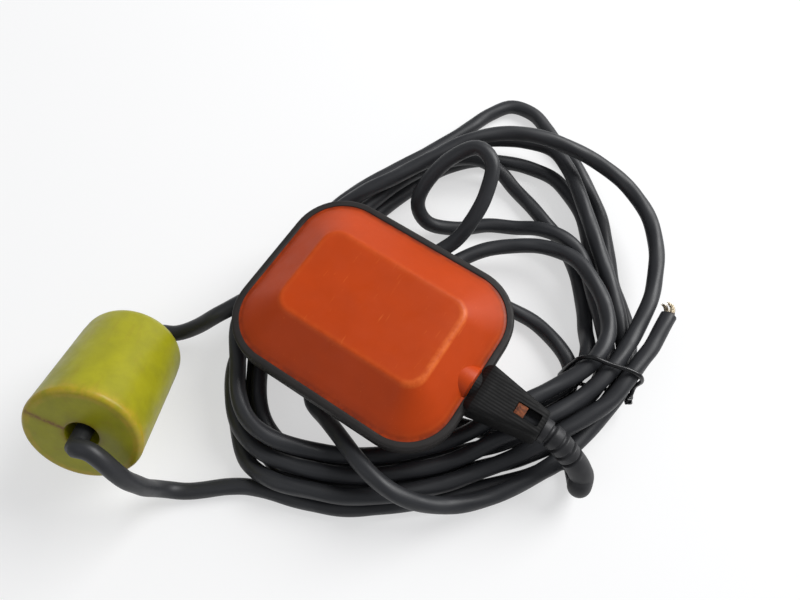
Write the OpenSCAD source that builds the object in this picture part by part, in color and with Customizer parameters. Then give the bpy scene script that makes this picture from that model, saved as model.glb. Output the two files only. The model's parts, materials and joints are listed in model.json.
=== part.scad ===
// Cable float switch: a float that tips on its cable, a sliding counterweight and about 4 m of tied cable.
// Millimetres, +Z up. The origin stands on the floor under the middle of the box round float and weight.

/* [Float] */
// Length of the orange body
body_l = 95; // [86:0.2:106]
// Width of the orange body
body_w = 76; // [68:0.5:84]
// Thickness of the orange body
body_h = 29; // [28:0.5:36]
// Corner radius of the body in plan
body_corner_r = 20; // [14:0.5:26]
// Length of the flat top and bottom faces
face_l = 64; // [60:0.5:70]
// Width of the flat top and bottom faces
face_w = 39; // [37:0.5:46]
// Corner radius of the flat faces
face_corner_r = 7; // [4:0.5:10]
// Wall of the two shells
shell_wall = 2.4; // [1.6:0.1:2.6]
// Height of the float's underside over the floor
rest_z = 14.8; // [14.6:0.1:20]

/* [Rim band and neck] */
// Height of the black band
band_h = 7; // [5:0.5:9]
// How far the band stands out all round
band_out = 2.5; // [1.5:0.1:4]
// Length of the neck outside the band
neck_l = 26.7; // [22:0.1:34]
// Width of the neck where it leaves the band
neck_root_w = 21.5; // [18:0.5:30]
// Width of the neck at its end
neck_end_w = 12.5; // [12:0.5:18]
// Height of the neck
neck_h = 14; // [13:0.5:15]
// Radius of the spigot that enters the shells
spigot_r = 6.5; // [5.4:0.1:8]

/* [Switch capsule] */
// Outer length of the sealed capsule
capsule_l = 54; // [52:0.5:56]
// Outer width of the capsule
capsule_w = 31; // [26:0.5:33]
// Wall of the capsule
capsule_wall = 1.6; // [1.2:0.1:2]
// Diameter of the steel ball
ball_d = 14; // [12:0.1:14.4]
// Travel of the ball against the lever
ball_travel = 3; // [2:0.1:3]
// Length of the microswitch body
switch_l = 18; // [17:0.5:19]
// Width of the microswitch body
switch_w = 6.4; // [6:0.1:8]

/* [Cable] */
// Outer diameter of the cable
cable_d = 6.6; // [5:0.1:6.7]
// Diameter of one insulated core
core_d = 2.1; // [1.6:0.1:2.3]
// Length of stripped cores past the sheath
core_out = 7; // [5:0.5:20]
// Length of bare copper on each core
copper_out = 4; // [2:0.5:4.5]
// Length of the straight sheath at the cable's end
cable_end_l = 12; // [8:0.5:20]

/* [Counterweight] */
// Length of the weight
weight_l = 53; // [48:0.5:60]
// Diameter at the rear
weight_rear_d = 39.5; // [38:0.5:44]
// Diameter at the front face
weight_front_d = 42.5; // [38:0.5:46]
// Diameter of the bore for the cable
weight_bore_d = 12; // [12:0.1:15]
// Wall of the plastic jacket
weight_wall = 2; // [1.5:0.1:2.6]
// Round at the rear edge
weight_fillet = 6; // [3:0.5:7]
// Travel of the grip along the cable
grip_travel = 1.2; // [0.6:0.1:2.5]

/* [Hidden] */

$fn = 48;
// Gap between faces of pieces that move past each other
clear = 0.3;
// Running clearance of a shaft in its bore
run = 0.05;

// Places: the float's centre in the frame
float_x = -4.82;
float_y = 34.95;

// The neck stands a little to one side of the middle
neck_y = -2.2;

// Heights of the float
mid_z = rest_z + body_h / 2;
top_z = rest_z + body_h;

// Counterweight: rear centre seen from the float's centre, and the way it leans
weight_tilt = 32.4;
weight_turn = -60.1;
weight_polar = 90 - weight_tilt;
weight_dir = [sin(weight_polar) * cos(weight_turn), sin(weight_polar) * sin(weight_turn), cos(weight_polar)];
weight_rear_r = weight_rear_d / 2;
weight_rear_z = (weight_rear_r - weight_fillet) * sin(weight_polar) + weight_fillet * (1 - cos(weight_polar));
weight_rear = [-79.2, -58, weight_rear_z];
weight_front = weight_rear + weight_l * weight_dir;

// Cable route, point by point, seen from the float's centre on the floor
lead_points = [
    // down out of the bend relief and back under the coil
    [99.9, -8.2, 10.5], [99.9, -8, 8.2], [99, -6.2, 5.5], [97, -3.2, 4], [94.2, -0.6, 3.4],
    [91, -1.4, 3.4], [87.2, -7.2, 3.4], [82.6, -14, 3.4],
    [74.8, -22.3, 3.4], [65.6, -32, 3.4], [55.5, -42.1, 3.4], [42.4, -53.5, 3.4], [28.3, -64, 3.4],
    [13.1, -70.6, 3.4], [1.2, -74.4, 3.4],
    // out on the floor, then up and over into the front of the weight
    [-8.1, -78, 3.4], [-13.8, -81.8, 3.4], [-20.9, -87.8, 3.4], [-27.4, -92.9, 3.6], [-32, -95.8, 6],
    [-35, -98, 11], [-35.9, -99.4, 18], [-36.2, -99.9, 26], [-37.8, -100.2, 34], [-41, -99.8, 40.6],
    [-44.8, -99, 45], [-48.6, -98.8, 47.4], [-51.8, -99.9, 47.8], [-54.2, -100.8, 46.4]];
rear_points = [
    // from the rear of the weight under the float's end
    [-81.2, -51.6, 9.8], [-77.6, -48.2, 8.6], [-71, -44.6, 9], [-64, -37.4, 12.2], [-56.6, -28.7, 18.8],
    [-51.2, -19.3, 20.6],
    [-44.5, -8, 19], [-38.5, -1, 15.1], [-33, 4.5, 11.2], [-26, 10.5, 8.5], [-14, 19, 6], [0, 29, 4],
    [14, 37.5, 3.5], [28, 43, 3.5], [42, 45, 3.5], [54, 45, 3.5], [66, 41, 3.5], [75, 35, 3.5]];
loop_1 = [
    // small loop under the float
    [79, 27, 3.5], [74.5, 17.5, 3.5], [65, 10.5, 3.5], [54, 5, 3.5], [42, 3.5, 3.5], [29, 6, 3.5],
    [17.5, 13, 4], [10, 25, 10], [8, 38, 12], [11, 49, 11], [18, 60, 11], [30, 70, 12], [42, 75, 14],
    [54, 74.5, 17], [64.5, 69, 18.5], [74, 61.5, 18.5], [80.5, 52, 18.5], [82, 42, 18.5]];
loop_2 = [
    // big loop, top layer
    [80.5, 33, 18.5], [74.5, 20.5, 18.4], [66.5, 7, 18.5], [59.5, -4.5, 16.3], [54, -14, 12.3],
    [41.5, -29.5, 11], [27.7, -41.8, 11], [15, -49.5, 11], [2, -55.5, 14.5], [-10, -59, 18],
    [-21, -57.5, 18.5], [-30, -51.5, 18.4], [-37.5, -42, 18.4], [-46.2, -32, 17.8], [-51.4, -23, 13],
    [-51, -14, 10.2], [-50.7, 0, 9.7], [-50.6, 15, 9.6], [-49.5, 30, 10.2], [-47, 42, 12.9],
    [-41, 53, 17], [-32.5, 66, 20], [-23, 82, 23], [-14, 97, 25], [0, 110.2, 26], [14.5, 116.3, 26],
    [30.8, 120.4, 23], [47, 121, 20], [60.6, 117.2, 18.5], [72, 109.2, 18.5], [80, 98.8, 18.5],
    [85, 88, 18.5],
    [89, 74, 18.5], [90, 59, 18.5], [89.8, 46, 18.5]];
loop_3 = [
    // big loop, middle layer
    [88.3, 34, 18.5], [84.8, 22, 18.4], [78, 8.5, 18.2], [71.3, -2, 17.6], [65.3, -10.3, 15.7],
    [55.3, -25.6, 10.8], [42, -39.5, 10.5], [28, -50.9, 10.2], [15, -57.7, 10.8], [1, -62.8, 11],
    [-12, -64.6, 11.3], [-24, -61, 11.3], [-35.3, -50.8, 11.2], [-42, -39, 11], [-43.4, -27, 10.7],
    [-43.3, -12, 9.9], [-43.3, 10, 9.7], [-41.8, 30, 9.9], [-39, 47, 9.8], [-36.3, 58, 10.4],
    [-33, 68, 12], [-26, 82, 12.5], [-18.5, 93, 11.5], [-9, 100, 11], [1, 102, 7.5], [11, 100, 3.8],
    [22.5, 95.9, 3.5], [33.8, 91.2, 3.5], [43.4, 86.8, 3.5], [53, 80, 3.5], [60.6, 72, 3.5],
    [67.2, 63.2, 3.5], [73, 53, 5], [77.2, 44, 9.5]];
loop_4 = [
    // small loop that stands up behind the float
    [79.5, 34, 11], [76, 22, 11], [68, 9, 10.8], [56, 0, 10.8], [41, -4, 11], [26, -3, 11],
    [12, 5, 11], [3, 17, 11], [-1, 30, 12], [1, 43, 14], [6, 54, 17], [8.5, 64, 24], [8, 74, 30],
    [4, 85, 36], [-5, 88, 37], [-13, 81, 32], [-18, 70, 25], [-18, 61, 15], [-11, 59.5, 8],
    [0, 66, 4], [12, 76, 3.8], [24, 81.5, 5], [34, 84, 9.6], [44, 84.5, 11.3], [53, 82, 11],
    [60.2, 76, 11], [68, 67.5, 11], [76.7, 57.5, 11], [84.6, 46.5, 11]];
loop_5 = [
    // big loop, inside on the floor
    [87.8, 35, 11], [86, 22, 10.7], [80.5, 10, 10.6], [73.5, -1, 10.4], [66.5, -10, 8.5],
    [55, -21, 3.5], [41.5, -34.3, 3.5], [27.7, -46.2, 3.5], [16, -52.8, 3.5], [2, -58, 3.8],
    [-12, -56.3, 9.8], [-22, -50, 11], [-29.5, -40.5, 11], [-35, -29, 9.2], [-36.6, -19, 5.8],
    [-39.2, -6, 3.4], [-39.6, 10, 3.4], [-38.3, 30, 3.4], [-36, 46, 3.5], [-33.3, 58, 3.5],
    [-30, 69, 3.5], [-26.5, 81, 3.5], [-21, 93, 3.5], [-11, 104, 3.5], [0, 110, 3.5], [12, 114, 3.5],
    [24, 115, 3.5], [35, 111, 3.5], [46, 103.5, 3.5], [55.8, 91.3, 3.5], [64.6, 79, 3.5],
    [73.3, 68.3, 3.5], [80.5, 58, 3.5], [85.5, 47, 3.5]];
turn_back = [
    // turn under the float and over the lower strands to the tie
    [88, 35, 3.5], [86.3, 22, 3.5], [80, 9.2, 3.3], [70.5, -0.5, 3.5], [57.5, -8.2, 3.5],
    [44, -12.5, 3.5], [30, -13.5, 3.5], [15, -12, 3.5], [1, -11, 3.5], [-9, -17, 3.5],
    [-12, -27, 4], [-7, -36, 6], [3, -40, 11], [13, -43.5, 18], [23, -47.5, 23], [33, -50, 24],
    [44, -50.5, 22], [54.5, -47, 17], [64.3, -40.3, 12.5], [73.2, -31, 11], [80, -21, 11],
    [85.3, -11.5, 11], [89.6, -1, 11], [92.6, 10, 11], [95, 21, 11], [96.3, 32, 10.8]];
loop_6 = [
    // big loop the other way round, from the middle layer down to the floor
    [95.9, 40, 11], [92, 48, 11], [86.9, 56.7, 11], [79.8, 66.3, 11], [71.4, 75.4, 12], [62.4, 85, 12],
    [53, 94.8, 12], [40, 108, 12], [28, 118.5, 12], [17, 123.5, 11.5], [4, 120.5, 11],
    [-10, 112.5, 11], [-22, 101, 10], [-31.1, 84.9, 8.4], [-37.7, 68.9, 6.4], [-43.3, 52, 4],
    [-46.2, 34, 3.4],
    [-47, 12, 3.4], [-47, -6, 3.4], [-45.8, -17, 3.4], [-42, -26.5, 3.4], [-37, -36.2, 3.4],
    [-27, -49.5, 3.4], [-14.4, -61, 3.4], [0, -65.8, 3.4], [14, -62.2, 3.5], [28, -55, 3.5],
    [42.2, -44.3, 3.5], [55.5, -31.5, 3.5], [66.3, -20.2, 3.5], [77, -8.5, 3.5], [86.5, 6, 3.5],
    [93.1, 20, 3.5], [95.4, 34, 3.5]];
loop_7 = [
    // widest loop on the floor, with the arch behind the bundle
    [95.3, 46, 3.5], [92.4, 56.8, 3.5], [87.2, 65.4, 3.5], [80, 72.7, 3.5], [73.6, 79.2, 3.5],
    [67, 88.6, 3.5], [60, 98.8, 3.5], [51.5, 109.5, 3.5], [40.5, 119, 3.5], [29, 128, 3.5],
    [18, 133, 3.5], [8, 138.5, 3.5], [-2, 143, 3.5], [-13, 141, 3.5], [-19.8, 131, 3.5],
    [-23.8, 119, 3.5], [-28.2, 106.7, 3.5], [-35.6, 89.2, 3.5], [-44.7, 69.6, 3.5], [-51.5, 51, 3.5],
    [-54.2, 32, 3.4], [-54.7, 12, 3.4], [-54.8, -8, 3.4], [-51.8, -23.5, 3.4], [-43.5, -39.5, 3.4],
    [-33.5, -53, 3.4], [-23.3, -64, 3.8], [-13, -70.5, 5.6], [0, -71, 9.7]];
tail_points = [
    // last run under the neck, up over the bundle and out
    [14.2, -66.2, 10.3], [28.3, -59.9, 10.1], [42.5, -49.5, 10.3], [55.5, -36.8, 10.3],
    [66.8, -22.2, 10.9], [76, -9.5, 13.8], [83.7, 4, 16.5], [89.6, 15, 18], [94.1, 25, 18.5],
    [95.9, 36, 18.5], [97.3, 47, 19], [98.1, 53, 19.9], [98.2, 57, 20]];
sheath_end = [98.2, 58.5, 20];

// The bundle rides up over the tie that goes round it
tie_y = 38;
tie_lift = 2;
tie_reach = 20;
tie_from_x = 56;
tie_full_x = 70;
function bump(y) = abs(y - tie_y) < tie_reach ? (1 + cos(180 * (y - tie_y) / tie_reach)) / 2 : 0;
function near_tie(x) = min(1, max(0, (x - tie_from_x) / (tie_full_x - tie_from_x)));
function lifted(points) =
    [for (p = points) [p[0], p[1], p[2] + tie_lift * bump(p[1]) * near_tie(p[0])]];

// Straight stretches where the cable enters and leaves the weight, long enough for the grip's travel
bore_margin = 1.6;
bore_out = grip_travel + bore_margin;
weight_exit = weight_front + bore_out * weight_dir;
weight_entry = weight_rear - bore_out * weight_dir;
lead_route = concat(lead_points, [weight_exit, weight_front, weight_rear]);
rear_route = concat([weight_rear, weight_entry], lifted(rear_points));
coil_route = concat([rear_route[len(rear_route) - 1]],
    lifted(concat(loop_1, loop_2, loop_3, loop_4, loop_5, turn_back, loop_6, loop_7, tail_points)),
    [sheath_end]);
cable_r = cable_d / 2;
cable_sides = 6;
lead_sides = 8;

// Swept tube: a frame is carried along the points without twisting
function unit(v) = v / norm(v);
function heading(p, i) = unit(p[min(i + 1, len(p) - 1)] - p[max(i - 1, 0)]);
function across(v, along) = unit(v - (v * along) * along);
function sides_of(p) =
    [for (i = 0, s = across([0, 0.1, 1], heading(p, 0)); i < len(p);
        i = i + 1, s = i < len(p) ? across(s, heading(p, i)) : s) s];
function ring(c, along, side, r, n) =
    [for (k = [0:n - 1]) c + r * (cos(360 * k / n) * side + sin(360 * k / n) * cross(along, side))];
module tube(p, radii, n) {
    sides = sides_of(p);
    last = len(p) - 1;
    points = [for (i = [0:last], q = ring(p[i], heading(p, i), sides[i], radii[i], n)) q];
    walls = [for (i = [0:last - 1], k = [0:n - 1], t = [0, 1])
        let (a = i * n + k, b = i * n + (k + 1) % n)
        t == 0 ? [a, a + n, b] : [b, a + n, b + n]];
    start_cap = [for (k = [1:n - 2]) [0, k, k + 1]];
    end_cap = [for (k = [1:n - 2]) [last * n, last * n + k + 1, last * n + k]];
    polyhedron(points, concat(walls, start_cap, end_cap), convexity = 10);
}
function same_r(p, r) = [for (q = p) r];
function total(v, i = 0) = i < len(v) ? v[i] + total(v, i + 1) : 0;
function route_l(p) = total([for (i = [1:len(p) - 1]) norm(p[i] - p[i - 1])]);

// Least distance of a route to itself, past the neighbours of each point
function to_segment(p, a, b) =
    let (ab = b - a, t = min(1, max(0, (p - a) * ab / (ab * ab)))) norm(p - a - t * ab);
skip_rings = 3;
function least_self_gap(p) =
    min([for (i = [0:len(p) - 1]) for (j = [0:len(p) - 2])
        if (j > i + skip_rings || j + 1 < i - skip_rings) to_segment(p[i], p[j], p[j + 1])]);

module at_float() {
    translate([float_x, float_y, 0]) children();
}
module in_weight() {
    at_float() translate(weight_rear) rotate([0, weight_polar, weight_turn]) children();
}
module round_rect(l, w, r) {
    square([l - 2 * r, w], center = true);
    square([l, w - 2 * r], center = true);
    for (x = [-1, 1], y = [-1, 1]) translate([x * (l / 2 - r), y * (w / 2 - r)]) circle(r);
}
module block(from, to) {
    translate(from) cube(to - from);
}
module along_x(x, y, z, r, l) {
    translate([x, y, z]) rotate([0, 90, 0]) cylinder(r = r, h = l);
}

// Float shells, each with a half-round boss over the neck's spigot
skin = 0.02;
face_wall = shell_wall * 0.5;
neck_boss_r = spigot_r + 2;
neck_boss_wall = 1.2;
neck_boss_x = face_l / 2;
module half_body(l, w, r, f_l, f_w, f_r, h) {
    hull() {
        linear_extrude(band_h / 2) round_rect(l, w, r, $fn = 32);
        translate([0, 0, h - skin]) linear_extrude(skin) round_rect(f_l, f_w, f_r, $fn = 32);
    }
}
module half_shell() {
    difference() {
        union() {
            half_body(body_l, body_w, body_corner_r, face_l, face_w, face_corner_r, body_h / 2);
            intersection() {
                along_x(neck_boss_x, neck_y, 0, neck_boss_r, body_l / 2 - neck_boss_x);
                block([0, neck_y - neck_boss_r, 0], [body_l, neck_y + neck_boss_r, neck_boss_r]);
            }
        }
        translate([0, 0, -skin]) half_body(body_l - 2 * shell_wall, body_w - 2 * shell_wall,
            body_corner_r - shell_wall, face_l - 2 * face_wall, face_w - 2 * face_wall,
            face_corner_r - face_wall, body_h / 2 - shell_wall + skin);
        along_x(neck_boss_x, neck_y, 0, neck_boss_r - neck_boss_wall, body_l / 2 - shell_wall - neck_boss_x);
        along_x(neck_boss_x, neck_y, 0, spigot_r + run, body_l / 2);
    }
}
module upper_shell() {
    color("orangered") at_float() translate([0, 0, mid_z]) half_shell();
}
module lower_shell() {
    color("orangered") at_float() translate([0, 0, mid_z]) mirror([0, 0, 1]) half_shell();
}

// Rim band round the joint of the shells, open where the neck passes
band_end_x = body_l / 2 + band_out;
module rim_band() {
    color([0.15, 0.14, 0.13]) at_float() translate([0, 0, mid_z - band_h / 2]) difference() {
        linear_extrude(band_h) difference() {
            round_rect(body_l + 2 * band_out, body_w + 2 * band_out, body_corner_r + band_out);
            round_rect(body_l, body_w, body_corner_r);
        }
        block([body_l / 2 - band_out, neck_y - neck_root_w / 2, -1],
            [band_end_x + 1, neck_y + neck_root_w / 2, band_h + 1]);
    }
}

// Neck: spigot through the shells, flange inside, tapered body with a clip window
grommet_r = 5.3;
neck_x = body_l / 2;
neck_end_x = band_end_x + neck_l;
neck_corner_r = 3;
flange_l = 1.4;
flange_r = spigot_r + 1.5;
shell_in_x = body_l / 2 - shell_wall - clear;
window_l = 10;
window_w = 5;
window_x = neck_end_x - window_l - 2;
clip_t = 1;
clip_l = 4;
clip_play = 0.2;
clip_sunk = 0.4;
module neck_outline() {
    polygon([[neck_x, -neck_root_w / 2], [neck_x, neck_root_w / 2],
        [neck_end_x - neck_corner_r, neck_end_w / 2], [neck_end_x, neck_end_w / 2 - neck_corner_r],
        [neck_end_x, neck_corner_r - neck_end_w / 2], [neck_end_x - neck_corner_r, -neck_end_w / 2]]);
    for (y = [-1, 1]) translate([neck_end_x - neck_corner_r, y * (neck_end_w / 2 - neck_corner_r)])
        circle(neck_corner_r);
}
module neck_housing() {
    color([0.15, 0.14, 0.13]) at_float() translate([0, neck_y, mid_z]) difference() {
        union() {
            difference() {
                translate([0, 0, -neck_h / 2]) linear_extrude(neck_h) neck_outline();
                block([neck_x - 1, -neck_root_w, band_h / 2], [neck_x + band_out / 2, neck_root_w, neck_h]);
                block([neck_x - 1, -neck_root_w, -neck_h], [neck_x + band_out / 2, neck_root_w, -band_h / 2]);
            }
            along_x(shell_in_x - flange_l, 0, 0, spigot_r, neck_x + band_out - shell_in_x + flange_l);
            block([shell_in_x - flange_l, -flange_r, -band_h / 2], [shell_in_x, flange_r, band_h / 2]);
        }
        along_x(shell_in_x - flange_l - 1, 0, 0, cable_r + run, neck_end_x);
        along_x(neck_x + band_out, 0, 0, grommet_r + run, neck_l + 1);
        block([window_x, -window_w / 2, grommet_r - 2], [window_x + window_l, window_w / 2, neck_h]);
    }
}
module neck_grommet() {
    color([0.1, 0.1, 0.1]) at_float() translate([0, neck_y, mid_z]) difference() {
        along_x(neck_x + band_out + 0.5, 0, 0, grommet_r, neck_l - 0.5);
        along_x(neck_x, 0, 0, cable_r + run, 2 * neck_l);
        block([window_x - clip_t, -window_w, grommet_r - 2 - clip_play],
            [window_x + window_l, window_w, neck_h]);
    }
}
// Steel clip in the window: a leg that holds the grommet, and a plate at the neck's surface
module retaining_clip() {
    clip_y = window_w / 2 - clip_play;
    clip_top_z = neck_h / 2 - clip_sunk;
    color([0.45, 0.28, 0.18]) at_float() translate([window_x + clip_play, neck_y, mid_z]) {
        block([0, -clip_y, grommet_r - 2], [clip_t, clip_y, clip_top_z]);
        block([0, -clip_y, clip_top_z - clip_t], [clip_l, clip_y, clip_top_z]);
    }
}

// Sealing sleeve between the neck's flange and the capsule
capsule_x = -29;
capsule_end_x = capsule_x + capsule_l;
module seal_sleeve() {
    color("dimgray") at_float() difference() {
        along_x(capsule_end_x, neck_y, mid_z, cable_r + 2.2, shell_in_x - flange_l - capsule_end_x);
        along_x(capsule_end_x - 1, neck_y, mid_z, cable_r + run, body_l / 2);
    }
}
inner_start_x = capsule_end_x - capsule_wall - 0.5;
module inner_cable() {
    color([0.13, 0.13, 0.14]) at_float()
        along_x(inner_start_x, neck_y, mid_z, cable_r, neck_end_x - inner_start_x);
}

// Closed-cell foam beside and behind the capsule
foam_h = 10;
foam_side_l = 50;
foam_side_w = 13;
foam_end_l = 11;
foam_end_w = 48;
module foam_blocks() {
    color("whitesmoke") at_float() translate([0, 0, mid_z - foam_h / 2]) {
        for (y = [-1, 1]) translate([0, y * (capsule_w / 2 + clear + foam_side_w / 2), foam_h / 2])
            cube([foam_side_l, foam_side_w, foam_h], center = true);
        translate([capsule_x - clear - foam_end_l, -foam_end_w / 2, 0])
            cube([foam_end_l, foam_end_w, foam_h]);
    }
}

// Capsule: base, gasket, cover and four screws
base_z = rest_z + shell_wall + clear;
lid_z = top_z - shell_wall - clear;
gasket_h = 0.8;
cover_h = 4.2;
base_top_z = lid_z - cover_h - gasket_h;
cover_z = base_top_z + gasket_h;
cell_floor_z = base_z + capsule_wall;
cell_top_z = lid_z - capsule_wall;
cell_x = capsule_x + capsule_wall;
cell_end_x = capsule_end_x - capsule_wall;
cell_w = capsule_w - 2 * capsule_wall;
screw_r = 1.2;
boss_r = 2.6;
boss_in = 2;
screw_x = [cell_x + boss_in, cell_end_x - boss_in];
screw_y = cell_w / 2 - boss_in;
module at_screws() {
    for (x = screw_x, y = [-screw_y, screw_y]) translate([x, y, 0]) children();
}

// Ball, lever and switch, placed from the ball
ball_r = ball_d / 2;
eye_r = 1.7;
ball_x = -12;
ball_z = cell_floor_z + clear + ball_r;
paddle_t = 1.2;
paddle_w = 8;
ball_gap = 0.4;
pivot_x = ball_x + ball_r + ball_gap + paddle_t / 2;
pivot_z = cell_top_z - eye_r - 0.4;
pivot_r = 1;
paddle_drop = 13.4;
plunger_drop = 5;
plunger_z = pivot_z - plunger_drop;
track_t = 1.2;
track_y = ball_r + clear + track_t / 2 + 0.1;
cheek_t = 1.6;
cheek_w = 4.4;
cheek_y = max(ball_r, paddle_w / 2) + clear + cheek_t;
module capsule_base() {
    color("gainsboro") at_float() difference() {
        union() {
            difference() {
                block([capsule_x, -capsule_w / 2, base_z], [capsule_end_x, capsule_w / 2, base_top_z]);
                block([cell_x, -cell_w / 2, cell_floor_z], [cell_end_x, cell_w / 2, top_z]);
            }
            at_screws() translate([0, 0, base_z]) cylinder(r = boss_r, h = base_top_z - base_z);
            // track walls beside the ball, its stop, and the seat of the switch
            for (y = [-1, 1]) block([ball_x - ball_r, y * track_y - track_t / 2, cell_floor_z],
                [pivot_x - cheek_w / 2, y * track_y + track_t / 2, ball_z]);
            block([ball_x - ball_r - clear - track_t, -ball_r, cell_floor_z],
                [ball_x - ball_r - clear, ball_r, ball_z + ball_r / 3]);
            block([seat_x, -switch_w / 2, cell_floor_z], [seat_end_x, switch_w / 2, switch_z]);
            // cheeks that carry the lever's pin
            for (y = [-1, 1]) block([pivot_x - cheek_w / 2, y * cheek_y - cheek_t / 2, cell_floor_z],
                [pivot_x + cheek_w / 2, y * cheek_y + cheek_t / 2, pivot_z + eye_r]);
        }
        at_screws() translate([0, 0, base_z + 2]) cylinder(r = screw_r, h = body_h);
        along_x(cell_end_x - 1, neck_y, mid_z, cable_r + run, 2 * capsule_wall + 2);
        translate([pivot_x, capsule_w, pivot_z]) rotate([90, 0, 0])
            cylinder(r = pivot_r, h = 2 * capsule_w);
    }
}
module capsule_gasket() {
    color("black") at_float() translate([0, 0, base_top_z]) difference() {
        block([capsule_x, -capsule_w / 2, 0], [capsule_end_x, capsule_w / 2, gasket_h]);
        block([cell_x, -cell_w / 2, -1], [cell_end_x, cell_w / 2, gasket_h + 1]);
        at_screws() translate([0, 0, -1]) cylinder(r = boss_r + 0.1, h = gasket_h + 2);
    }
}
screw_head_r = 2.1;
screw_head_h = 1.3;
screw_sunk = 0.2;
module capsule_cover() {
    color("lightgray") at_float() difference() {
        union() {
            difference() {
                block([capsule_x, -capsule_w / 2, cover_z], [capsule_end_x, capsule_w / 2, lid_z]);
                block([cell_x, -cell_w / 2, cover_z - 1], [cell_end_x, cell_w / 2, cell_top_z]);
            }
            at_screws() translate([0, 0, base_top_z + clear])
                cylinder(r = boss_r, h = lid_z - base_top_z - clear);
        }
        at_screws() {
            translate([0, 0, base_top_z - 1]) cylinder(r = screw_r + run, h = body_h);
            translate([0, 0, lid_z - screw_head_h - screw_sunk]) cylinder(r = screw_head_r + 0.1, h = body_h);
        }
    }
}
module capsule_screws() {
    screw_l = 12;
    color("silver") at_float() at_screws() translate([0, 0, lid_z - screw_sunk]) mirror([0, 0, 1]) {
        cylinder(r = screw_head_r, h = screw_head_h);
        cylinder(r = screw_r, h = screw_l);
    }
}
module steel_ball() {
    color("lightsteelblue") at_float() translate([ball_x, 0, ball_z]) sphere(r = ball_r);
}
module lever() {
    color("goldenrod") at_float() difference() {
        union() {
            translate([pivot_x, paddle_w / 2, pivot_z]) rotate([90, 0, 0]) cylinder(r = eye_r, h = paddle_w);
            block([pivot_x - paddle_t / 2, -paddle_w / 2, pivot_z - paddle_drop],
                [pivot_x + paddle_t / 2, paddle_w / 2, pivot_z]);
        }
        translate([pivot_x, paddle_w, pivot_z]) rotate([90, 0, 0])
            cylinder(r = pivot_r + run, h = 2 * paddle_w);
    }
}
module lever_pin() {
    pin_l = 2 * cheek_y + cheek_t;
    color("silver") at_float() translate([pivot_x, pin_l / 2, pivot_z]) rotate([90, 0, 0])
        cylinder(r = pivot_r, h = pin_l);
}

// Microswitch
switch_x = 0.5;
switch_drop = 5.9;
switch_z = plunger_z - switch_drop;
switch_wall = 0.9;
switch_top_z = plunger_z + 4.8;
cover_t = switch_wall;
stem_r = 1.2;
tip_r = 0.8;
collar_r = 1.45;
nose_r = 0.6;
in_x = switch_x + switch_wall;
in_z = switch_z + switch_wall;
in_top_z = switch_top_z - switch_wall;
in_y = switch_w / 2 - switch_wall;
blade_x = in_x + 1.8;
blade_t = 0.4;
blade_z = in_z + 0.8;
blade_top_z = plunger_z + 2.8;
terminal_t = 0.6;
terminal_w = 3;
tab_z = switch_z - 5;
common_x = blade_x + blade_t / 2 - terminal_t / 2;
contact_r = 0.7;
contact_h = 0.55;
contact_z = plunger_z + 2.3;
contact_spare = 0.5;
plunger_travel = ball_travel * plunger_drop / (pivot_z - ball_z);
blade_swing = plunger_travel * (contact_z - blade_z) / (plunger_z - blade_z);
open_x = blade_x + blade_t + contact_h + blade_swing + contact_spare;
closed_x = switch_x + switch_l - 4.5;
slot_gap = 0.1;
lug_out = 1.3;
seat_x = open_x + 2 * terminal_t + lug_out + clear;
seat_end_x = closed_x - lug_out - clear;
module terminal_slot(x) {
    slot_y = terminal_w / 2 + slot_gap;
    block([x - slot_gap, -slot_y, tab_z], [x + terminal_t + slot_gap, slot_y, in_z + slot_gap]);
}
module switch_body() {
    color("black") at_float() difference() {
        block([switch_x, -switch_w / 2, switch_z],
            [switch_x + switch_l, switch_w / 2 - cover_t, switch_top_z]);
        block([in_x, -in_y, in_z], [switch_x + switch_l - switch_wall, switch_w, in_top_z]);
        along_x(switch_x - 1, 0, plunger_z, stem_r + run, 3);
        terminal_slot(common_x);
        terminal_slot(open_x + terminal_t);
        terminal_slot(closed_x);
    }
}
module switch_cover() {
    color("firebrick") at_float() block([switch_x, switch_w / 2 - cover_t, switch_z],
        [switch_x + switch_l, switch_w / 2, switch_top_z]);
}
tip_gap = 0.4;
module plunger() {
    tip_x = pivot_x + paddle_t / 2 + tip_gap;
    color("red") at_float() {
        along_x(tip_x, 0, plunger_z, tip_r, switch_x - tip_x);
        along_x(switch_x - 1.5, 0, plunger_z, stem_r, 1.5 + switch_wall + clear + 0.2);
        along_x(in_x + clear, 0, plunger_z, collar_r, 0.6);
        along_x(in_x + clear, 0, plunger_z, nose_r, blade_x - clear - in_x - clear);
    }
}
module contact_blade() {
    color("peru") at_float() {
        block([blade_x, -terminal_w / 2, blade_z], [blade_x + blade_t, terminal_w / 2, blade_top_z]);
        along_x(blade_x - contact_h, 0, contact_z, contact_r, blade_t + 2 * contact_h);
    }
}
module common_terminal() {
    color("gold") at_float() block([common_x, -terminal_w / 2, tab_z],
        [common_x + terminal_t, terminal_w / 2, blade_z - clear]);
}
module open_terminal() {
    color("gold") at_float() {
        block([open_x + terminal_t, -terminal_w / 2, tab_z],
            [open_x + 2 * terminal_t, terminal_w / 2, blade_top_z]);
        along_x(open_x, 0, contact_z, contact_r, terminal_t);
    }
}
module closed_terminal() {
    rail_z = in_top_z - clear - terminal_t / 2;
    hook_x = blade_x - contact_h - clear - terminal_t;
    color("gold") at_float() {
        block([closed_x, -terminal_w / 2, tab_z], [closed_x + terminal_t, terminal_w / 2, rail_z]);
        block([hook_x, -terminal_w / 2, rail_z - terminal_t / 2],
            [closed_x + terminal_t, terminal_w / 2, rail_z + terminal_t / 2]);
        block([hook_x, -contact_r, contact_z - contact_r], [hook_x + terminal_t, contact_r, rail_z]);
    }
}

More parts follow.
